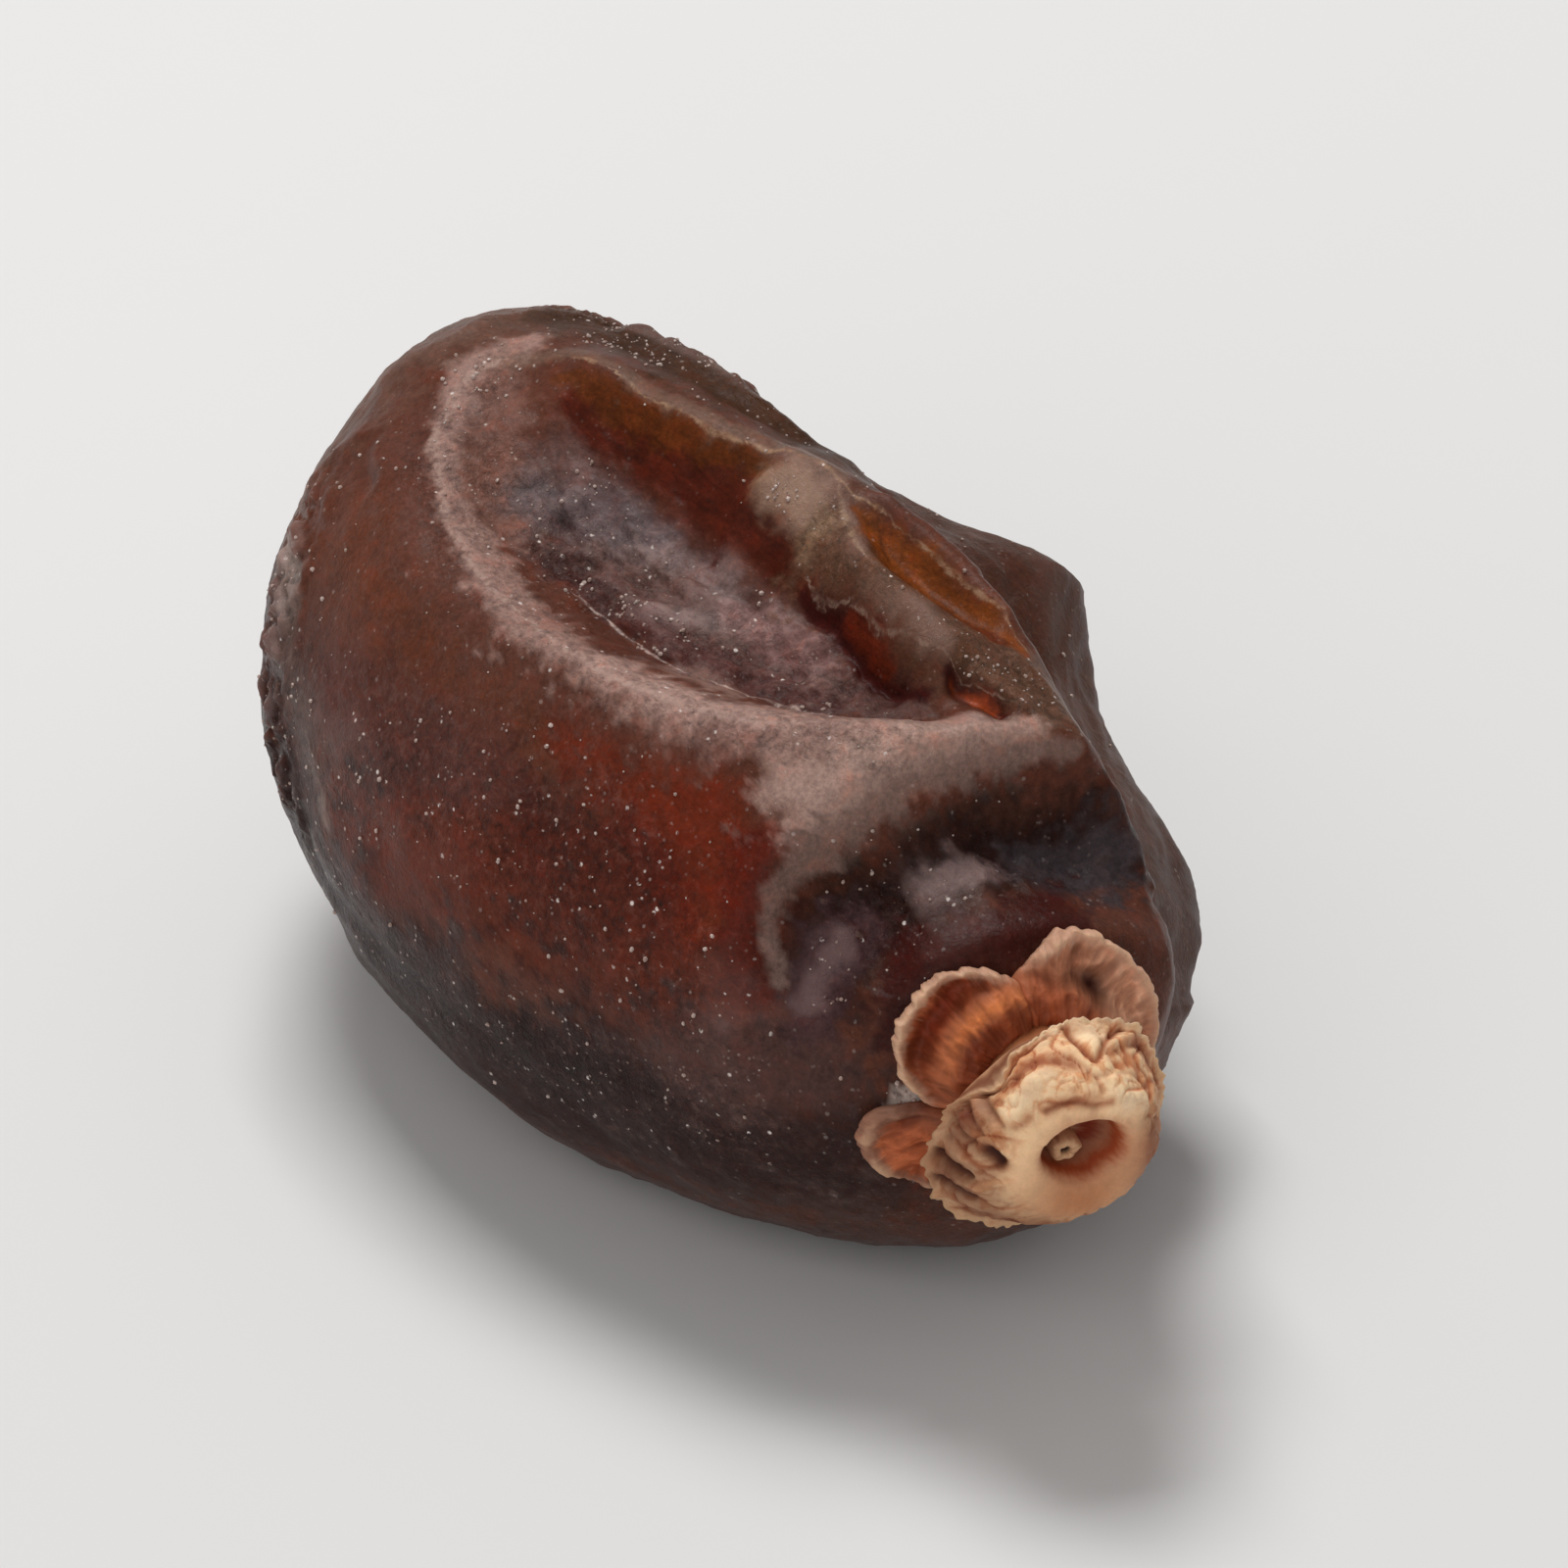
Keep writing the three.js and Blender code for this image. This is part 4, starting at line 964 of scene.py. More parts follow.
def petal_mesh(node):
    """A petal: a thin closed membrane that climbs out from under the cup's margin, dried onto the
    fruit's end, and stands up again in a frayed rim."""
    middle, tip, spread, reach, squareness, foot_spread, climb, hollow = PETALS[node]
    mesh, ball = ball_mesh(node + "_dry", PETAL_CUTS)
    x, y, z = ball.T
    seed = 10.0 * (1 + list(PETALS).index(node))
    rim = np.hypot(x, y)
    from_middle = rim + 1e-9
    corner = (np.abs(x / from_middle) ** squareness + np.abs(y / from_middle) ** squareness)
    corner = corner ** (-1 / squareness)
    share = 0.5 + 0.5 * corner * y
    across = corner * x
    radius = PETAL_INNER + (reach - PETAL_INNER) * share
    outward = np.clip((radius - 2.1) / (reach - 2.1), 0, 1)
    widened = 1 + foot_spread * smooth_step((3.7 - radius) / 1.5)
    turn = np.radians(middle + (tip - middle) * outward - spread * widened * across)
    frayed = lumps(grain_points(turn, 0 * x, 5.0, 0), 0.42, 3, seed)
    outer = smooth_step((outward - 0.30) / 0.3)
    fray = smooth_step((rim - 0.78) / 0.22) * outer
    broad = lumps(grain_points(turn, 0 * x, 5.0, 0), 1.3, 2, seed)
    radius = radius + 0.10 * (frayed + 0.5 * broad) * fray
    spots = np.stack([0 * x, -radius * np.sin(turn), radius * np.cos(turn)], 1)
    skin, normals = main_skin(end_directions(carried(spots, calyx_frame())))
    side = np.sign(z) * np.abs(z) ** PETAL_FULLNESS
    thick = 0.5 + 0.5 * side
    top = smooth_step(thick)
    grain = grain_points(turn, radius, 5.0, 0.35)
    fibres = creases(grain, 0.30, 2, seed) - 0.5
    soft = lumps(spots, 1.0, 2, seed + 3)
    bowl = bell(outward, 0.62, 0.16) * smooth_step((0.86 - np.abs(across)) / 0.3)
    raised = bell(rim, 0.90, 0.09) * outer
    pleats = creases(grain_points(turn + 0.15 * soft, radius, 3.2, 0.30), 0.9, 3, seed + 6) - 0.5
    tufts = creases(spots + 0.3 * soft[:, None], 0.7, 3, seed + 8) - 0.5
    relief = top * (0.24 * raised - hollow * bowl + (0.05 + 0.05 * outer) * fibres)
    relief += top * (0.14 * soft + (0.12 - 0.02 * outer) * pleats + 0.18 * tufts)
    ripples = lumps(grain_points(turn, radius, 3.6, 0.3), 0.8, 3, seed + 11)
    relief += 0.05 * frayed * fray + top * 0.16 * ripples
    foot = smooth_step((PETAL_CLIMB[0] - radius) / (PETAL_CLIMB[0] - PETAL_CLIMB[1]))
    risen = climb * foot * smooth_step((1.05 - np.abs(across)) / 0.25)
    height = PETAL_UNDER + PETAL_LIFT * outward * outward + (PETAL_TOP + risen) * thick + relief
    colour = np.full((len(x), 3), PETAL_COLOUR)
    pit = np.zeros(len(x))
    for tint, strength, along, reach_along, aside, reach_aside in PETAL_ZONES[node]:
        spot = bell(outward + 0.04 * soft, along, reach_along) * bell(across, aside, reach_aside)
        colour = led(colour, strength * spot, tint)
        if strength == PIT:
            pit = np.maximum(pit, spot)
    height -= PIT_DEPTH * pit * top
    place_vertices(mesh, skin + normals * height[:, None])
    pale_rim = smooth_step((rim - 0.76 + 0.08 * frayed) / 0.10) * outer
    pale_rim = pale_rim * smooth_step((0.55 + 0.5 * fibres) / 0.4)
    creased = np.clip(-1.8 * pleats - 0.4, 0, 0.35) * top
    colour = led(colour, creased, colour * PLEAT_SHADE)
    colour *= np.clip(1.04 + (0.45 * fibres + 0.5 * tufts) * top, 0.5, 1.7)[:, None]
    colour = led(colour, 0.85 * pale_rim, PETAL_RIMS[node])
    colour = led(colour, 0.8 * (1 - top), PETAL_UNDERSIDE)
    keep_fibres(mesh, colour, grain, 0.5 + relief / RELIEF_RANGE["petal"], 0.35 + 0.65 * outer)
    return mesh


CORE_RADIUS = 0.48
CORE_LENGTH = 0.72
CORE_START = 2.45
CORE_OFF = (-0.12, -0.32)   # where the middle of the strand is, in Y and Z from the cup's axis
# the strand's outline, in shares of its length and radius, out to its end and into its dark heart
CORE_PROFILE = [
    (0, 0), (0, 0.9), (0.1, 1.0), (0.6, 0.98), (0.88, 0.92), (1.0, 0.76), (1.02, 0.5),
    (0.95, 0.34), (0.74, 0.26), (0.70, 0.12), (0.70, 0)]
CORE_STEPS = 4
CORE_SPIN_STEPS = 64
CORE_COLOUR = (0.62, 0.36, 0.20)
CORE_PIT = (0.05, 0.018, 0.010)
CORE_FOOT = (0.25, 0.08, 0.03)


def core_mesh():
    """The stub of the strand in the scar, with a dark pit where its heart dried out."""
    rows = [(CORE_LENGTH * x, CORE_RADIUS * radius) for x, radius in CORE_PROFILE]
    mesh, (x, radius), row, turn = spun_mesh("stalk_core_stub", rows, CORE_STEPS, CORE_SPIN_STEPS)
    grain = grain_points(turn, x, 0.5, 0.3)
    rough = lumps(grain, 0.22, 2, 3.0)
    radius = radius * (1 + 0.34 * lumps(grain_points(turn, 0 * x, 0.5, 0), 0.4, 3, 5.0) * bell(row, 4, 3))
    x = x + 0.05 * lumps(grain, 0.3, 2, 9.0) * smooth_step((row - 3) / 2)
    local = np.stack([
        CORE_START + x, CORE_OFF[0] - radius * np.sin(turn), CORE_OFF[1] + 0.8 * radius * np.cos(turn)], 1)
    place_vertices(mesh, carried(local, calyx_frame()))
    colour = np.full((len(row), 3), CORE_COLOUR)
    colour = led(colour, smooth_step((row - 7) / 1.2), CORE_PIT)
    colour = led(colour, smooth_step((2.5 - row) / 1.5), CORE_FOOT)
    keep_fibres(mesh, colour, grain * 6, 0.5 + 0.5 * rough, np.ones(len(row)))
    return mesh


# ---------------------------------------------------------------------------------------------
# Sugar grains on the skin

# rows of station, angle, reach in mm and share of the grains
GRAIN_PLACES = [
    (-10.5, 74, 4.0, 6), (-9.0, 92, 4.0, 4), (-11.5, 50, 3.0, 4), (-10.6, 18, 2.5, 4),
    (-7.9, 34, 2.5, 3), (1.5, 66, 3.5, 5), (-2.5, 60, 4.0, 3), (6.5, 62, 3.5, 4),
    (10.5, 64, 3.0, 3), (4, 84, 5.0, 3), (10, 92, 4.0, 3), (-4, 104, 5.0, 3), (-3, 26, 3.0, 6),
    (2, 20, 2.5, 4), (-11.5, -10, 3.0, 5), (-6, -12, 3.0, 5), (0, -10, 2.5, 3), (8, -14, 3.0, 3),
    (12, 30, 2.5, 4), (14, 20, 3.0, 2), (15.5, 60, 2.5, 3), (0, 110, 8.0, 5), (2, -70, 9.0, 8),
    (-8, -80, 8.0, 5), (10, -90, 8.0, 5), (-10.9, 15, 0.8, 3), (-10.2, 24, 0.6, 2),
    (-5.6, 14, 0.8, 4), (-2.0, 31, 0.6, 3), (-0.4, 27, 0.6, 4),
    (1.4, 24, 0.5, 2), (1.0, -3, 0.7, 4), (7.6, 18, 0.6, 3), (-9.6, -10, 1.4, 9), (-7.6, -14, 1.2, 6),
    (9.8, -6, 0.8, 3), (11.0, -12, 1.0, 3), (16.8, 80, 0.7, 5)]


GRAIN_FLOOR = 0.3           # no grains lie lower than this, in mm
GRAIN_STRETCH = (0.7, 1.25)
GRAIN_STAND = 0.15          # a grain's middle stands off the skin by this share of its radius
FULL_TURN = 6.28


def grains_mesh():
    """Small grains of sugar where it has dried out of the skin, as one mesh."""
    settings = bpy.context.scene.date_grains
    skin = bpy.data.objects["fruit_skin"].data
    points = vertex_array(skin)
    normals = np.empty(3 * len(skin.vertices), np.float32)
    skin.vertices.foreach_get("normal", normals)
    normals = normals.reshape(-1, 3)
    chance = random.Random(settings.seed)
    bm = bmesh.new()
    total = sum(share for *_, share in GRAIN_PLACES)
    for station, angle, reach, share in GRAIN_PLACES:
        middle = main_skin(towards(station, angle))[0][0] * MM
        away = np.linalg.norm(points - middle, axis=1) / (reach * MM)
        near = np.flatnonzero((away < 1) & (points[:, 2] > GRAIN_FLOOR * MM))
        if not len(near):
            raise RuntimeError(f"no skin near station {station}, angle {angle}")
        for _ in range(round(settings.count * share / total)):
            pick = near[min(int(chance.random() * len(near)), len(near) - 1)]
            radius = settings.size / 2 * (0.45 + 0.9 * chance.random() ** 2.5)
            stretch = [chance.uniform(*GRAIN_STRETCH) for _ in range(3)]
            turn = Matrix.Rotation(
                chance.uniform(0, FULL_TURN), 4, (chance.random(), chance.random(), 1))
            spot = Vector(points[pick]) + GRAIN_STAND * radius * Vector(normals[pick])
            place = Matrix.Translation(spot) @ turn @ Matrix.Diagonal((*stretch, 1))
            bmesh.ops.create_icosphere(bm, subdivisions=1, radius=radius, matrix=place)
    return mesh_of(bm, "sugar_grains")


# ---------------------------------------------------------------------------------------------
# Finishes

class Value:
    """A socket of a finish. Arithmetic on it adds Math nodes."""

    def __init__(self, finish, socket):
        self.finish = finish
        self.socket = socket

    def maths(self, operation, *values):
        return self.finish.node("ShaderNodeMath", {"operation": operation}, dict(enumerate(values)))

    def __add__(self, other):
        return self.maths("ADD", self, other)

    def __radd__(self, other):
        return self.maths("ADD", other, self)

    def __sub__(self, other):
        return self.maths("SUBTRACT", self, other)

    def __rsub__(self, other):
        return self.maths("SUBTRACT", other, self)

    def __mul__(self, other):
        return self.maths("MULTIPLY", self, other)

    def __rmul__(self, other):
        return self.maths("MULTIPLY", other, self)

    def __truediv__(self, other):
        return self.maths("DIVIDE", self, other)

    def __abs__(self):
        return self.maths("ABSOLUTE", self)

    def between(self, low, high):
        """0 up to low, 1 from high on, and a smooth step between."""
        settings = {"interpolation_type": "SMOOTHSTEP"}
        return self.finish.node("ShaderNodeMapRange", settings, {0: self, 1: low, 2: high})


class Finish:
    """The nodes of one material."""

    def __init__(self, name):
        self.material = bpy.data.materials.new(name)
        self.material.use_nodes = True
        self.tree = self.material.node_tree
        self.tree.nodes.clear()
        self.place = self.node("ShaderNodeTexCoord", output="Object")

    def node(self, kind, settings=None, sockets=None, output=0):
        """A node with its settings made first, then the values or links of its sockets."""
        made = self.tree.nodes.new(kind)
        for name, value in (settings or {}).items():
            setattr(made, name, value)
        for name, value in (sockets or {}).items():
            if isinstance(value, Value):
                self.tree.links.new(value.socket, made.inputs[name])
            else:
                made.inputs[name].default_value = value
        return Value(self, made.outputs[output]) if made.outputs else None

    def painted(self, name, output="Fac"):
        """What the mesh stores under a name."""
        return self.node("ShaderNodeAttribute", {"attribute_name": name}, output=output)

    def noise(self, size, detail=3, roughness=0.55, where=None, warp=0.0, spread=MM):
        """Noise from 0 to 1 with lumps of a size in mm."""
        sockets = {"Vector": where or self.place, "Scale": 1 / (size * spread), "Detail": detail,
                   "Roughness": roughness, "Distortion": warp}
        return self.node("ShaderNodeTexNoise", None, sockets)

    def cells(self, size):
        """How far the middle of the nearest cell is, in cells of a size in mm."""
        sockets = {"Vector": self.place, "Scale": 1 / (size * MM)}
        return self.node("ShaderNodeTexVoronoi", {"feature": "F1"}, sockets, "Distance")

    def mix(self, amount, first, second, blend="MIX"):
        """The first colour at an amount of 0 and the second, or their blend, at 1."""
        settings = {"data_type": "RGBA", "blend_type": blend}
        return self.node("ShaderNodeMix", settings, {0: amount, 6: first, 7: second}, 2)

    def tinted(self, colour, amount):
        """A colour made darker or lighter."""
        return self.node("ShaderNodeVectorMath", {"operation": "SCALE"}, {0: colour, 3: amount})

    def bumped(self, height, depth):
        """A bump whose height of 1 stands for a depth in mm."""
        sockets = {"Height": height, "Distance": depth * MM, "Strength": 1.0}
        return self.node("ShaderNodeBump", None, sockets)

    def shaded(self, colour, shade):
        """A colour multiplied by another."""
        return self.mix(1.0, colour, rgb(*shade), "MULTIPLY")

    def shader(self, sockets):
        """Ends the finish, and gives its material."""
        made = self.node("ShaderNodeBsdfPrincipled", None, sockets)
        self.node("ShaderNodeOutputMaterial", None, {"Surface": made})
        return self.material


def rgb(red, green, blue):
    """A linear colour as the sockets want it."""
    return (red, green, blue, 1.0)


# linear colours
CREST_BLOOM_AND_SHEEN = (0.29, 0.205, 0.190)
SPECK_COLOUR = (0.44, 0.31, 0.27)
GLINT_COLOUR = (0.85, 0.74, 0.68)
FIBRE_PALE = (0.92, 0.60, 0.37)
SUGAR_DULL, SUGAR_PALE = (0.34, 0.225, 0.185), (0.56, 0.44, 0.39)
FLOOR_CLOUD = (0.74, 0.735, 0.73)
# these multiply the colour of the flesh or the fibre
REDDER = (1.25, 0.62, 0.42)
PIT_SHADE = (0.45, 0.22, 0.20)
FIBRE_SHADE = (0.42, 0.22, 0.14)
THICKEST_FILM = 0.85
FINEST_EDGE = 0.004         # keeps an edge's width above 0, in mm
# roughness, and how deep in mm the finest grain of a finish is
SKIN_BUMP, SUGAR_BUMP = 0.075, 0.01
HUSK_ROUGHNESS, HUSK_BUMP = 0.6, 0.05
PETAL_ROUGHNESS, PETAL_BUMP = 0.55, 0.06
STRAND_ROUGHNESS, STRAND_BUMP = 0.7, 0.04


def skin_finish():
    """Translucent dried flesh under a patchy veil of dust, with grains too small to model, painted glints
    and painted sheen on crests.
    """
    look = bpy.context.scene.date_fruit
    finish = Finish("date_skin")
    tint = finish.painted("tint", "Color")
    dust = finish.painted("dust")
    relief = finish.painted("relief")
    granular = finish.painted("granular")
    cloud = finish.noise(3.2, 4, 0.6)
    mottle = finish.noise(0.75, 4, 0.65, warp=0.4)
    grit = finish.noise(0.16, 3, 0.7)
    grains = finish.noise(0.34, 4, 0.65, warp=0.5)
    coarse = 0.70 * cloud + 0.80 * mottle
    flesh = finish.tinted(tint, coarse + grit.between(0.30, 0.70) * 0.34 + granular * (grains - 0.5) * 1.9)
    redder = mottle.between(0.48, 0.75) * 0.35
    flesh = finish.mix(redder, flesh, finish.shaded(flesh, REDDER))
    veil = finish.noise(0.30, 5, 0.75, warp=0.8).between(0.46, 0.64)
    patches = finish.noise(1.4, 4, 0.65).between(0.38, 0.64)
    film = dust * (0.14 + veil * (0.35 + patches * 0.65) * 0.95)
    film = film + granular * grains.between(0.54, 0.66) * 0.14 + relief.between(0.62, 0.95) * dust * 0.5
    film = film.maths("MINIMUM", film * look.dustiness, THICKEST_FILM)
    drawn_out = finish.node("ShaderNodeVectorMath", {"operation": "MULTIPLY"}, {
        0: finish.place, 1: (0.20, 1.0, 1.0)})
    fibres = finish.noise(0.36, 4, 0.6, drawn_out, 0.6)
    clear = finish.painted("clear")
    flesh = finish.tinted(flesh, 1 + clear * (fibres - 0.5) * 1.9)
    # the raised crests of granular skin are painted paler: dusty bloom and a painted sheen, a lighter copy
    # of the skin's colour
    crest_bloom_sheen_amount = granular * relief.between(0.56, 0.85) * 0.6
    pits = granular * (1 - relief.between(0.20, 0.50)) * 0.55
    flesh = finish.mix(pits, flesh, finish.shaded(flesh, PIT_SHADE))
    colour = finish.mix(film, flesh, rgb(*look.dust_colour))
    crest_bloom_sheen_colour = finish.mix(0.5, finish.tinted(tint, 1.8), rgb(*CREST_BLOOM_AND_SHEEN))
    colour = finish.mix(crest_bloom_sheen_amount, colour, crest_bloom_sheen_colour)
    # the pale edges of the folds; those along the near rim's crest and foot are painted highlight, the
    # foot's over pale crumbs
    for name, (pale, _) in EDGES.items():
        strayed = abs(finish.painted(name) + 0.14 * (grains - 0.5))
        drawn = 1 - (strayed / (finish.painted(name + "_width") + FINEST_EDGE)).between(0.3, 1.4)
        colour = finish.mix(drawn * (0.12 + grains.between(0.40, 0.62) * 0.6), colour, rgb(*pale))
    dots = finish.cells(0.30)
    rare = finish.noise(0.8, 3, 0.6)
    specks = (1 - dots.between(0.10, 0.24)) * rare.between(0.50, 0.60) * (0.12 + granular * 0.88)
    # painted glints: tiny pale points on the granular skin
    painted_glints = (1 - finish.cells(0.47).between(0.09, 0.19)) * grains.between(0.50, 0.58) * granular
    colour = finish.mix(specks * 0.6, colour, rgb(*SPECK_COLOUR))
    colour = finish.mix(painted_glints * 0.9, colour, rgb(*GLINT_COLOUR))
    rough = 0.40 + 0.30 * film + 0.16 * (mottle - 0.5) - 0.22 * granular * grains
    fine = finish.noise(0.20, 4, 0.7, warp=0.6)
    height = 0.40 * fine + 0.3 * mottle + granular * (1.1 * grains + 0.4 * fine) + specks * 0.6
    return finish.shader({
        "Base Color": colour, "Roughness": rough, "Normal": finish.bumped(height, SKIN_BUMP),
        "Subsurface Weight": 0.14, "Subsurface Radius": (1.0, 0.28, 0.10),
        "Subsurface Scale": 0.0016, "IOR": 1.46, "Specular IOR Level": 0.12})


def husk_finish(name, roughness, depth):
    """Dry woody fibre: painted colours, streaked along the grain, painted shade in creases, painted
    highlight on ridges.
    """
    finish = Finish(name)
    tint = finish.painted("tint", "Color")
    grain = finish.painted("grain", "Vector")
    relief = finish.painted("relief")
    fibrous = finish.painted("fibrous")
    streaks = finish.noise(0.16, 3, 0.65, grain, 0.3, spread=1.0)
    hairs = finish.noise(0.06, 2, 0.6, grain, spread=1.0)
    mottle = finish.noise(0.55, 4, 0.65, warp=0.5)
    grit = finish.noise(0.09, 3, 0.7)
    shade = 0.74 + 0.40 * mottle + 0.25 * grit + fibrous * (0.5 * streaks + 0.3 * hairs - 0.4)
    colour = finish.tinted(tint, shade)
    # painted shade in the low creases
    creased = (1 - relief.between(0.15, 0.5)) * 0.6
    colour = finish.mix(creased, colour, finish.shaded(colour, FIBRE_SHADE))
    # pale streaks along the grain, and a painted highlight on raised parts
    pale = relief.between(0.6, 0.95) * 0.35 + (streaks.between(0.62, 0.8) * fibrous) * 0.25
    colour = finish.mix(pale, colour, rgb(*FIBRE_PALE))
    height = 0.5 * streaks * fibrous + 0.25 * hairs * fibrous + 0.35 * mottle + 0.2 * grit
    return finish.shader({
        "Base Color": colour, "Roughness": roughness + 0.2 * (mottle - 0.5),
        "Normal": finish.bumped(height, depth), "Subsurface Weight": 0.12,
        "Subsurface Radius": (1.0, 0.4, 0.18), "Subsurface Scale": 0.0006, "Specular IOR Level": 0.2})


def grain_finish():
    """Clouded sugar."""
    finish = Finish("date_sugar")
    cloud = finish.noise(0.5, 2)
    colour = finish.mix(cloud.between(0.3, 0.7), rgb(*SUGAR_DULL), rgb(*SUGAR_PALE))
    fine = finish.noise(0.05, 2)
    return finish.shader({
        "Base Color": colour, "Roughness": 0.25 + 0.2 * cloud, "Normal": finish.bumped(fine, SUGAR_BUMP),
        "Subsurface Weight": 0.25, "Subsurface Radius": (1.0, 0.8, 0.7), "Subsurface Scale": 0.0002})


def floor_finish():
    """A faintly clouded white board."""
    finish = Finish("floor_board")
    look = bpy.context.scene.date_stage
    cloud = finish.noise(60.0, 3)
    colour = finish.mix(cloud * 0.15, rgb(*look.floor_colour), rgb(*FLOOR_CLOUD))
    return finish.shader({"Base Color": colour, "Roughness": 0.9 + 0.05 * cloud})


# ---------------------------------------------------------------------------------------------
# The stage

# metres and degrees
KEY_DISTANCE, KEY_SIZE = 0.4, 0.16
FILL_AZIMUTH, FILL_ELEVATION = 36, 32
FILL_DISTANCE, FILL_SIZE = 0.5, 0.4
ROOM_BRIGHTNESS = 0.9       # of the backdrop, as the camera sees it


def aimed(obj, place, at):
    """Puts a lamp or camera in the scene, looking at a spot."""
    obj.location = place
    obj.rotation_mode = "QUATERNION"
    obj.rotation_quaternion = (Vector(at) - Vector(place)).to_track_quat("-Z", "Y")
    bpy.context.scene.collection.objects.link(obj)


def from_angles(azimuth, elevation, distance):
    """A place at a distance, in metres, from the origin."""
    a, e = math.radians(azimuth), math.radians(elevation)
    return distance * Vector((math.sin(a) * math.cos(e), -math.cos(a) * math.cos(e), math.sin(e)))


def add_lamp(name, azimuth, elevation, distance, size, power, middle):
    """A square lamp on a sphere round the middle, aimed at it."""
    lamp = bpy.data.lights.new(name, "AREA")
    lamp.shape = "SQUARE"
    lamp.size = size
    lamp.energy = power
    aimed(bpy.data.objects.new(name, lamp), middle + from_angles(azimuth, elevation, distance), middle)


def set_stage():
    """The camera, the floor, both lamps and the light of the room."""
    stage = bpy.context.scene.date_stage
    low, high = (Vector(corner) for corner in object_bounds())
    middle = (low + high) / 2
    camera = bpy.data.cameras.new("camera")
    camera.lens = stage.lens
    camera.sensor_width = 36
    view = from_angles(math.degrees(stage.azimuth), math.degrees(stage.elevation), stage.distance)
    aimed(bpy.data.objects.new("camera", camera), middle + view, middle)
    bpy.context.scene.camera = bpy.data.objects["camera"]
    camera.clip_start, camera.clip_end = 0.01, 5
    bm = bmesh.new()
    bmesh.ops.create_grid(bm, x_segments=8, y_segments=8, size=1.0)
    board = mesh_of(bm, "floor")
    board.materials.append(floor_finish())
    floor = bpy.data.objects.new("floor", board)
    bpy.context.scene.collection.objects.link(floor)
    floor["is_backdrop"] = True
    add_lamp(
        "key", stage.key_azimuth, stage.key_elevation, KEY_DISTANCE, KEY_SIZE, stage.key_power, middle)
    add_lamp(
        "fill", FILL_AZIMUTH, FILL_ELEVATION, FILL_DISTANCE, FILL_SIZE, stage.fill_power, middle)
    world = bpy.data.worlds.new("room")
    bpy.context.scene.world = world
    world.use_nodes = True
    nodes, links = world.node_tree.nodes, world.node_tree.links
    nodes.clear()
    seen = nodes.new("ShaderNodeBackground")
    light = nodes.new("ShaderNodeBackground")
    for made, grey, strength in ((seen, ROOM_BRIGHTNESS, 1.0), (light, 1.0, stage.world_strength)):
        made.inputs["Color"].default_value = rgb(grey, grey, grey)
        made.inputs["Strength"].default_value = strength
    path = nodes.new("ShaderNodeLightPath")
    choose = nodes.new("ShaderNodeMixShader")
    out = nodes.new("ShaderNodeOutputWorld")
    links.new(path.outputs["Is Camera Ray"], choose.inputs[0])
    links.new(light.outputs[0], choose.inputs[1])
    links.new(seen.outputs[0], choose.inputs[2])
    links.new(choose.outputs[0], out.inputs["Surface"])
    bpy.context.scene.view_settings.view_transform = "Standard"


# ---------------------------------------------------------------------------------------------
# The add-on

class DateFruit(bpy.types.PropertyGroup):
    length: bpy.props.FloatProperty(
        name="Length", description="From the rear to the stalk end of the plump form",
        default=0.0372, min=0.02, max=0.06, subtype="DISTANCE", unit="LENGTH")
    width: bpy.props.FloatProperty(
        name="Width", description="Across both flanks of the plump form",
        default=0.0226, min=0.01, max=0.04, subtype="DISTANCE", unit="LENGTH")
    height: bpy.props.FloatProperty(
        name="Height", description="From the underside to the top of the plump form",
        default=0.0214, min=0.01, max=0.04, subtype="DISTANCE", unit="LENGTH")
    dust_colour: bpy.props.FloatVectorProperty(
        name="Dust", description="Colour of the dry film on the skin",
        default=(0.25, 0.175, 0.15), min=0, max=1, subtype="COLOR")
    dustiness: bpy.props.FloatProperty(
        name="Dustiness", description="How thick the dry film lies", default=0.75, min=0, max=1,
        subtype="FACTOR")


class DateGrains(bpy.types.PropertyGroup):
    count: bpy.props.IntProperty(
        name="Count", description="How many grains of sugar lie on the skin", default=760, min=1,
        max=2000)
    size: bpy.props.FloatProperty(
        name="Size", description="Width of a large grain", default=0.00013, min=0.00005, max=0.001,
        subtype="DISTANCE", unit="LENGTH")
    seed: bpy.props.IntProperty(
        name="Seed", description="Another number scatters the grains in another way", default=7)


class DateStage(bpy.types.PropertyGroup):
    azimuth: bpy.props.FloatProperty(
        name="Azimuth", description="Direction of the camera round the date",
        default=math.radians(55), subtype="ANGLE")
    elevation: bpy.props.FloatProperty(
        name="Elevation", description="Height of the camera above the horizon",
        default=math.radians(32), subtype="ANGLE")
    distance: bpy.props.FloatProperty(
        name="Distance", description="From the date's middle to the camera", default=0.39,
        subtype="DISTANCE", unit="LENGTH")
    lens: bpy.props.FloatProperty(name="Lens", description="Focal length in mm", default=300)
    floor_colour: bpy.props.FloatVectorProperty(
        name="Floor", description="Colour of the floor", default=(0.80, 0.79, 0.78), min=0, max=1,
        subtype="COLOR")
    key_azimuth: bpy.props.FloatProperty(
        name="Key azimuth", description="Direction of the key lamp, in degrees", default=-105)
    key_elevation: bpy.props.FloatProperty(
        name="Key elevation", description="Height of the key lamp, in degrees", default=66)
    key_power: bpy.props.FloatProperty(
        name="Key power", description="Power of the key lamp in watts", default=1.1)
    fill_power: bpy.props.FloatProperty(
        name="Fill power", description="Power of the fill lamp in watts", default=0.66)
    world_strength: bpy.props.FloatProperty(
        name="Room light", description="Strength of the light from all round", default=0.28)


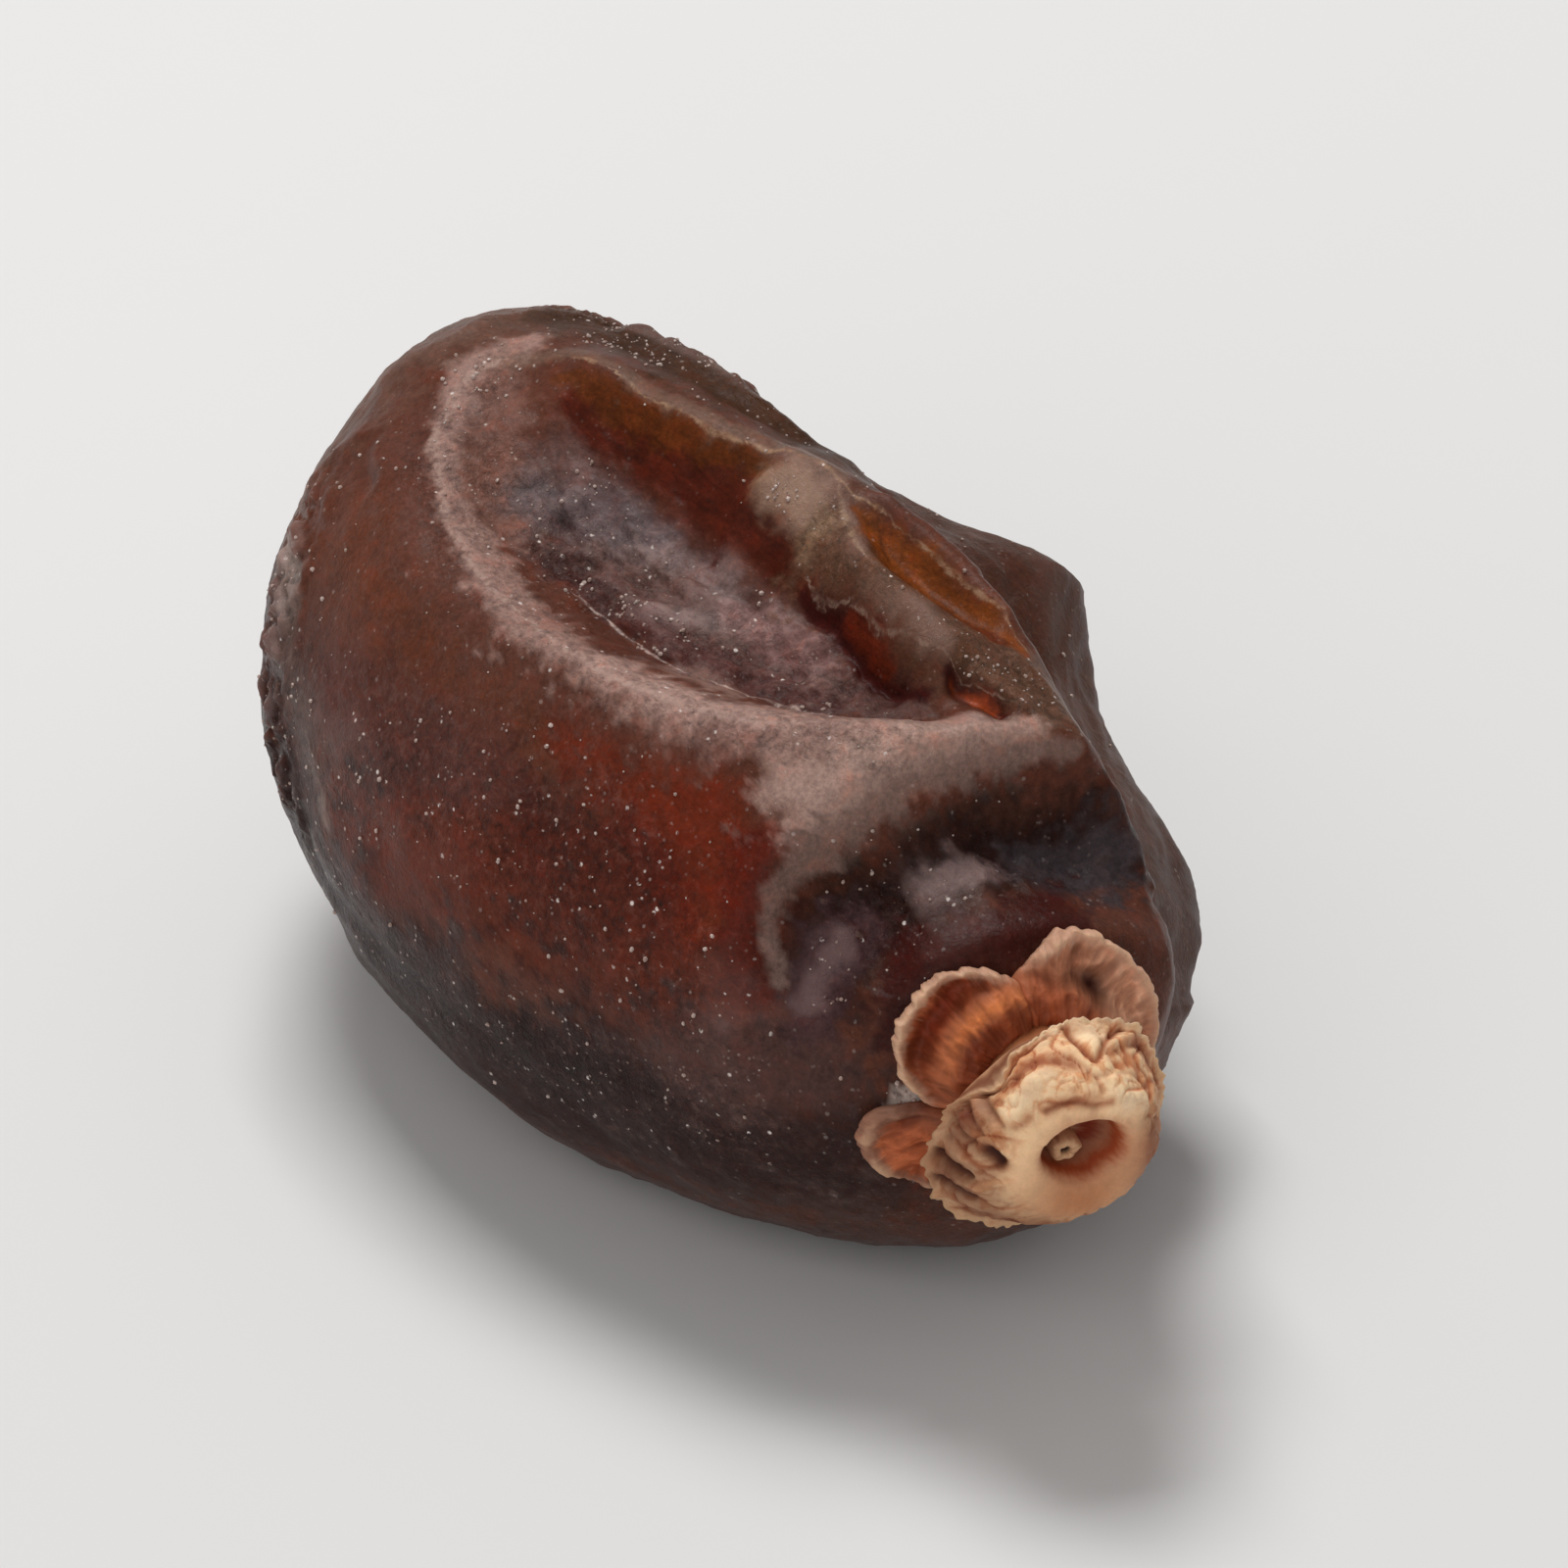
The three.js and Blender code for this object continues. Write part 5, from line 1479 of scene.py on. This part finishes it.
class DATE_OT_fruit(bpy.types.Operator):
    """Models the fruit's dried skin"""
    bl_idname = "date.fruit"
    bl_label = "Fruit"

    def execute(self, context):
        add_piece("fruit_skin", fruit_mesh(), skin_finish(), "skin", "fruit")
        return {"FINISHED"}


class DATE_OT_grains(bpy.types.Operator):
    """Scatters grains of sugar on the skin"""
    bl_idname = "date.grains"
    bl_label = "Sugar grains"

    def execute(self, context):
        add_piece("sugar_grains", grains_mesh(), grain_finish(), "skin")
        return {"FINISHED"}


class DATE_OT_cup(bpy.types.Operator):
    """Models the woody cup of the calyx"""
    bl_idname = "date.cup"
    bl_label = "Calyx cup"

    def execute(self, context):
        mesh = cup_mesh()
        finish = husk_finish("date_husk", HUSK_ROUGHNESS, HUSK_BUMP)
        add_piece("calyx_cup_husk", mesh, finish, "husk", "calyx_cup")
        return {"FINISHED"}


class DATE_OT_petals(bpy.types.Operator):
    """Models the petals that dried onto the fruit"""
    bl_idname = "date.petals"
    bl_label = "Petals"

    def execute(self, context):
        finish = husk_finish("date_petal", PETAL_ROUGHNESS, PETAL_BUMP)
        for node in PETALS:
            add_piece(node + "_dry", petal_mesh(node), finish, "petal", node)
        return {"FINISHED"}


class DATE_OT_core(bpy.types.Operator):
    """Models the stub of the strand in the scar"""
    bl_idname = "date.core"
    bl_label = "Stalk core"

    def execute(self, context):
        mesh = core_mesh()
        finish = husk_finish("date_strand", STRAND_ROUGHNESS, STRAND_BUMP)
        add_piece("stalk_core_stub", mesh, finish, "strand", "stalk_core")
        return {"FINISHED"}


class DATE_OT_stage(bpy.types.Operator):
    """Sets the floor, the lamps and the camera"""
    bl_idname = "date.stage"
    bl_label = "Stage"

    def execute(self, context):
        set_stage()
        return {"FINISHED"}


OPERATORS = [DATE_OT_fruit, DATE_OT_grains, DATE_OT_cup, DATE_OT_petals, DATE_OT_core, DATE_OT_stage]


class DATE_PT_panel(bpy.types.Panel):
    """Lists the steps and sizes of the date"""
    bl_idname = "DATE_PT_panel"
    bl_label = "Date"
    bl_space_type = "VIEW_3D"
    bl_region_type = "UI"
    bl_category = "Date"

    def draw(self, context):
        scene = context.scene
        for name, group in (("Fruit", scene.date_fruit), ("Sugar", scene.date_grains),
                            ("Stage", scene.date_stage)):
            box = self.layout.box()
            box.label(text=name)
            for prop in group.__annotations__:
                box.prop(group, prop)
        for operator in OPERATORS:
            self.layout.operator(operator.bl_idname)


GROUPS = {"date_fruit": DateFruit, "date_grains": DateGrains, "date_stage": DateStage}


def register():
    for made in [*GROUPS.values(), *OPERATORS, DATE_PT_panel]:
        bpy.utils.register_class(made)
    for name, group in GROUPS.items():
        setattr(bpy.types.Scene, name, bpy.props.PointerProperty(type=group))


def unregister():
    for name in GROUPS:
        delattr(bpy.types.Scene, name)
    for made in [DATE_PT_panel, *reversed(OPERATORS), *reversed(GROUPS.values())]:
        bpy.utils.unregister_class(made)


def main():
    register()
    bpy.ops.date.fruit()
    bpy.ops.date.grains()
    bpy.ops.date.cup()
    bpy.ops.date.petals()
    bpy.ops.date.core()
    bpy.ops.date.stage()


if __name__ == "__main__":
    main()
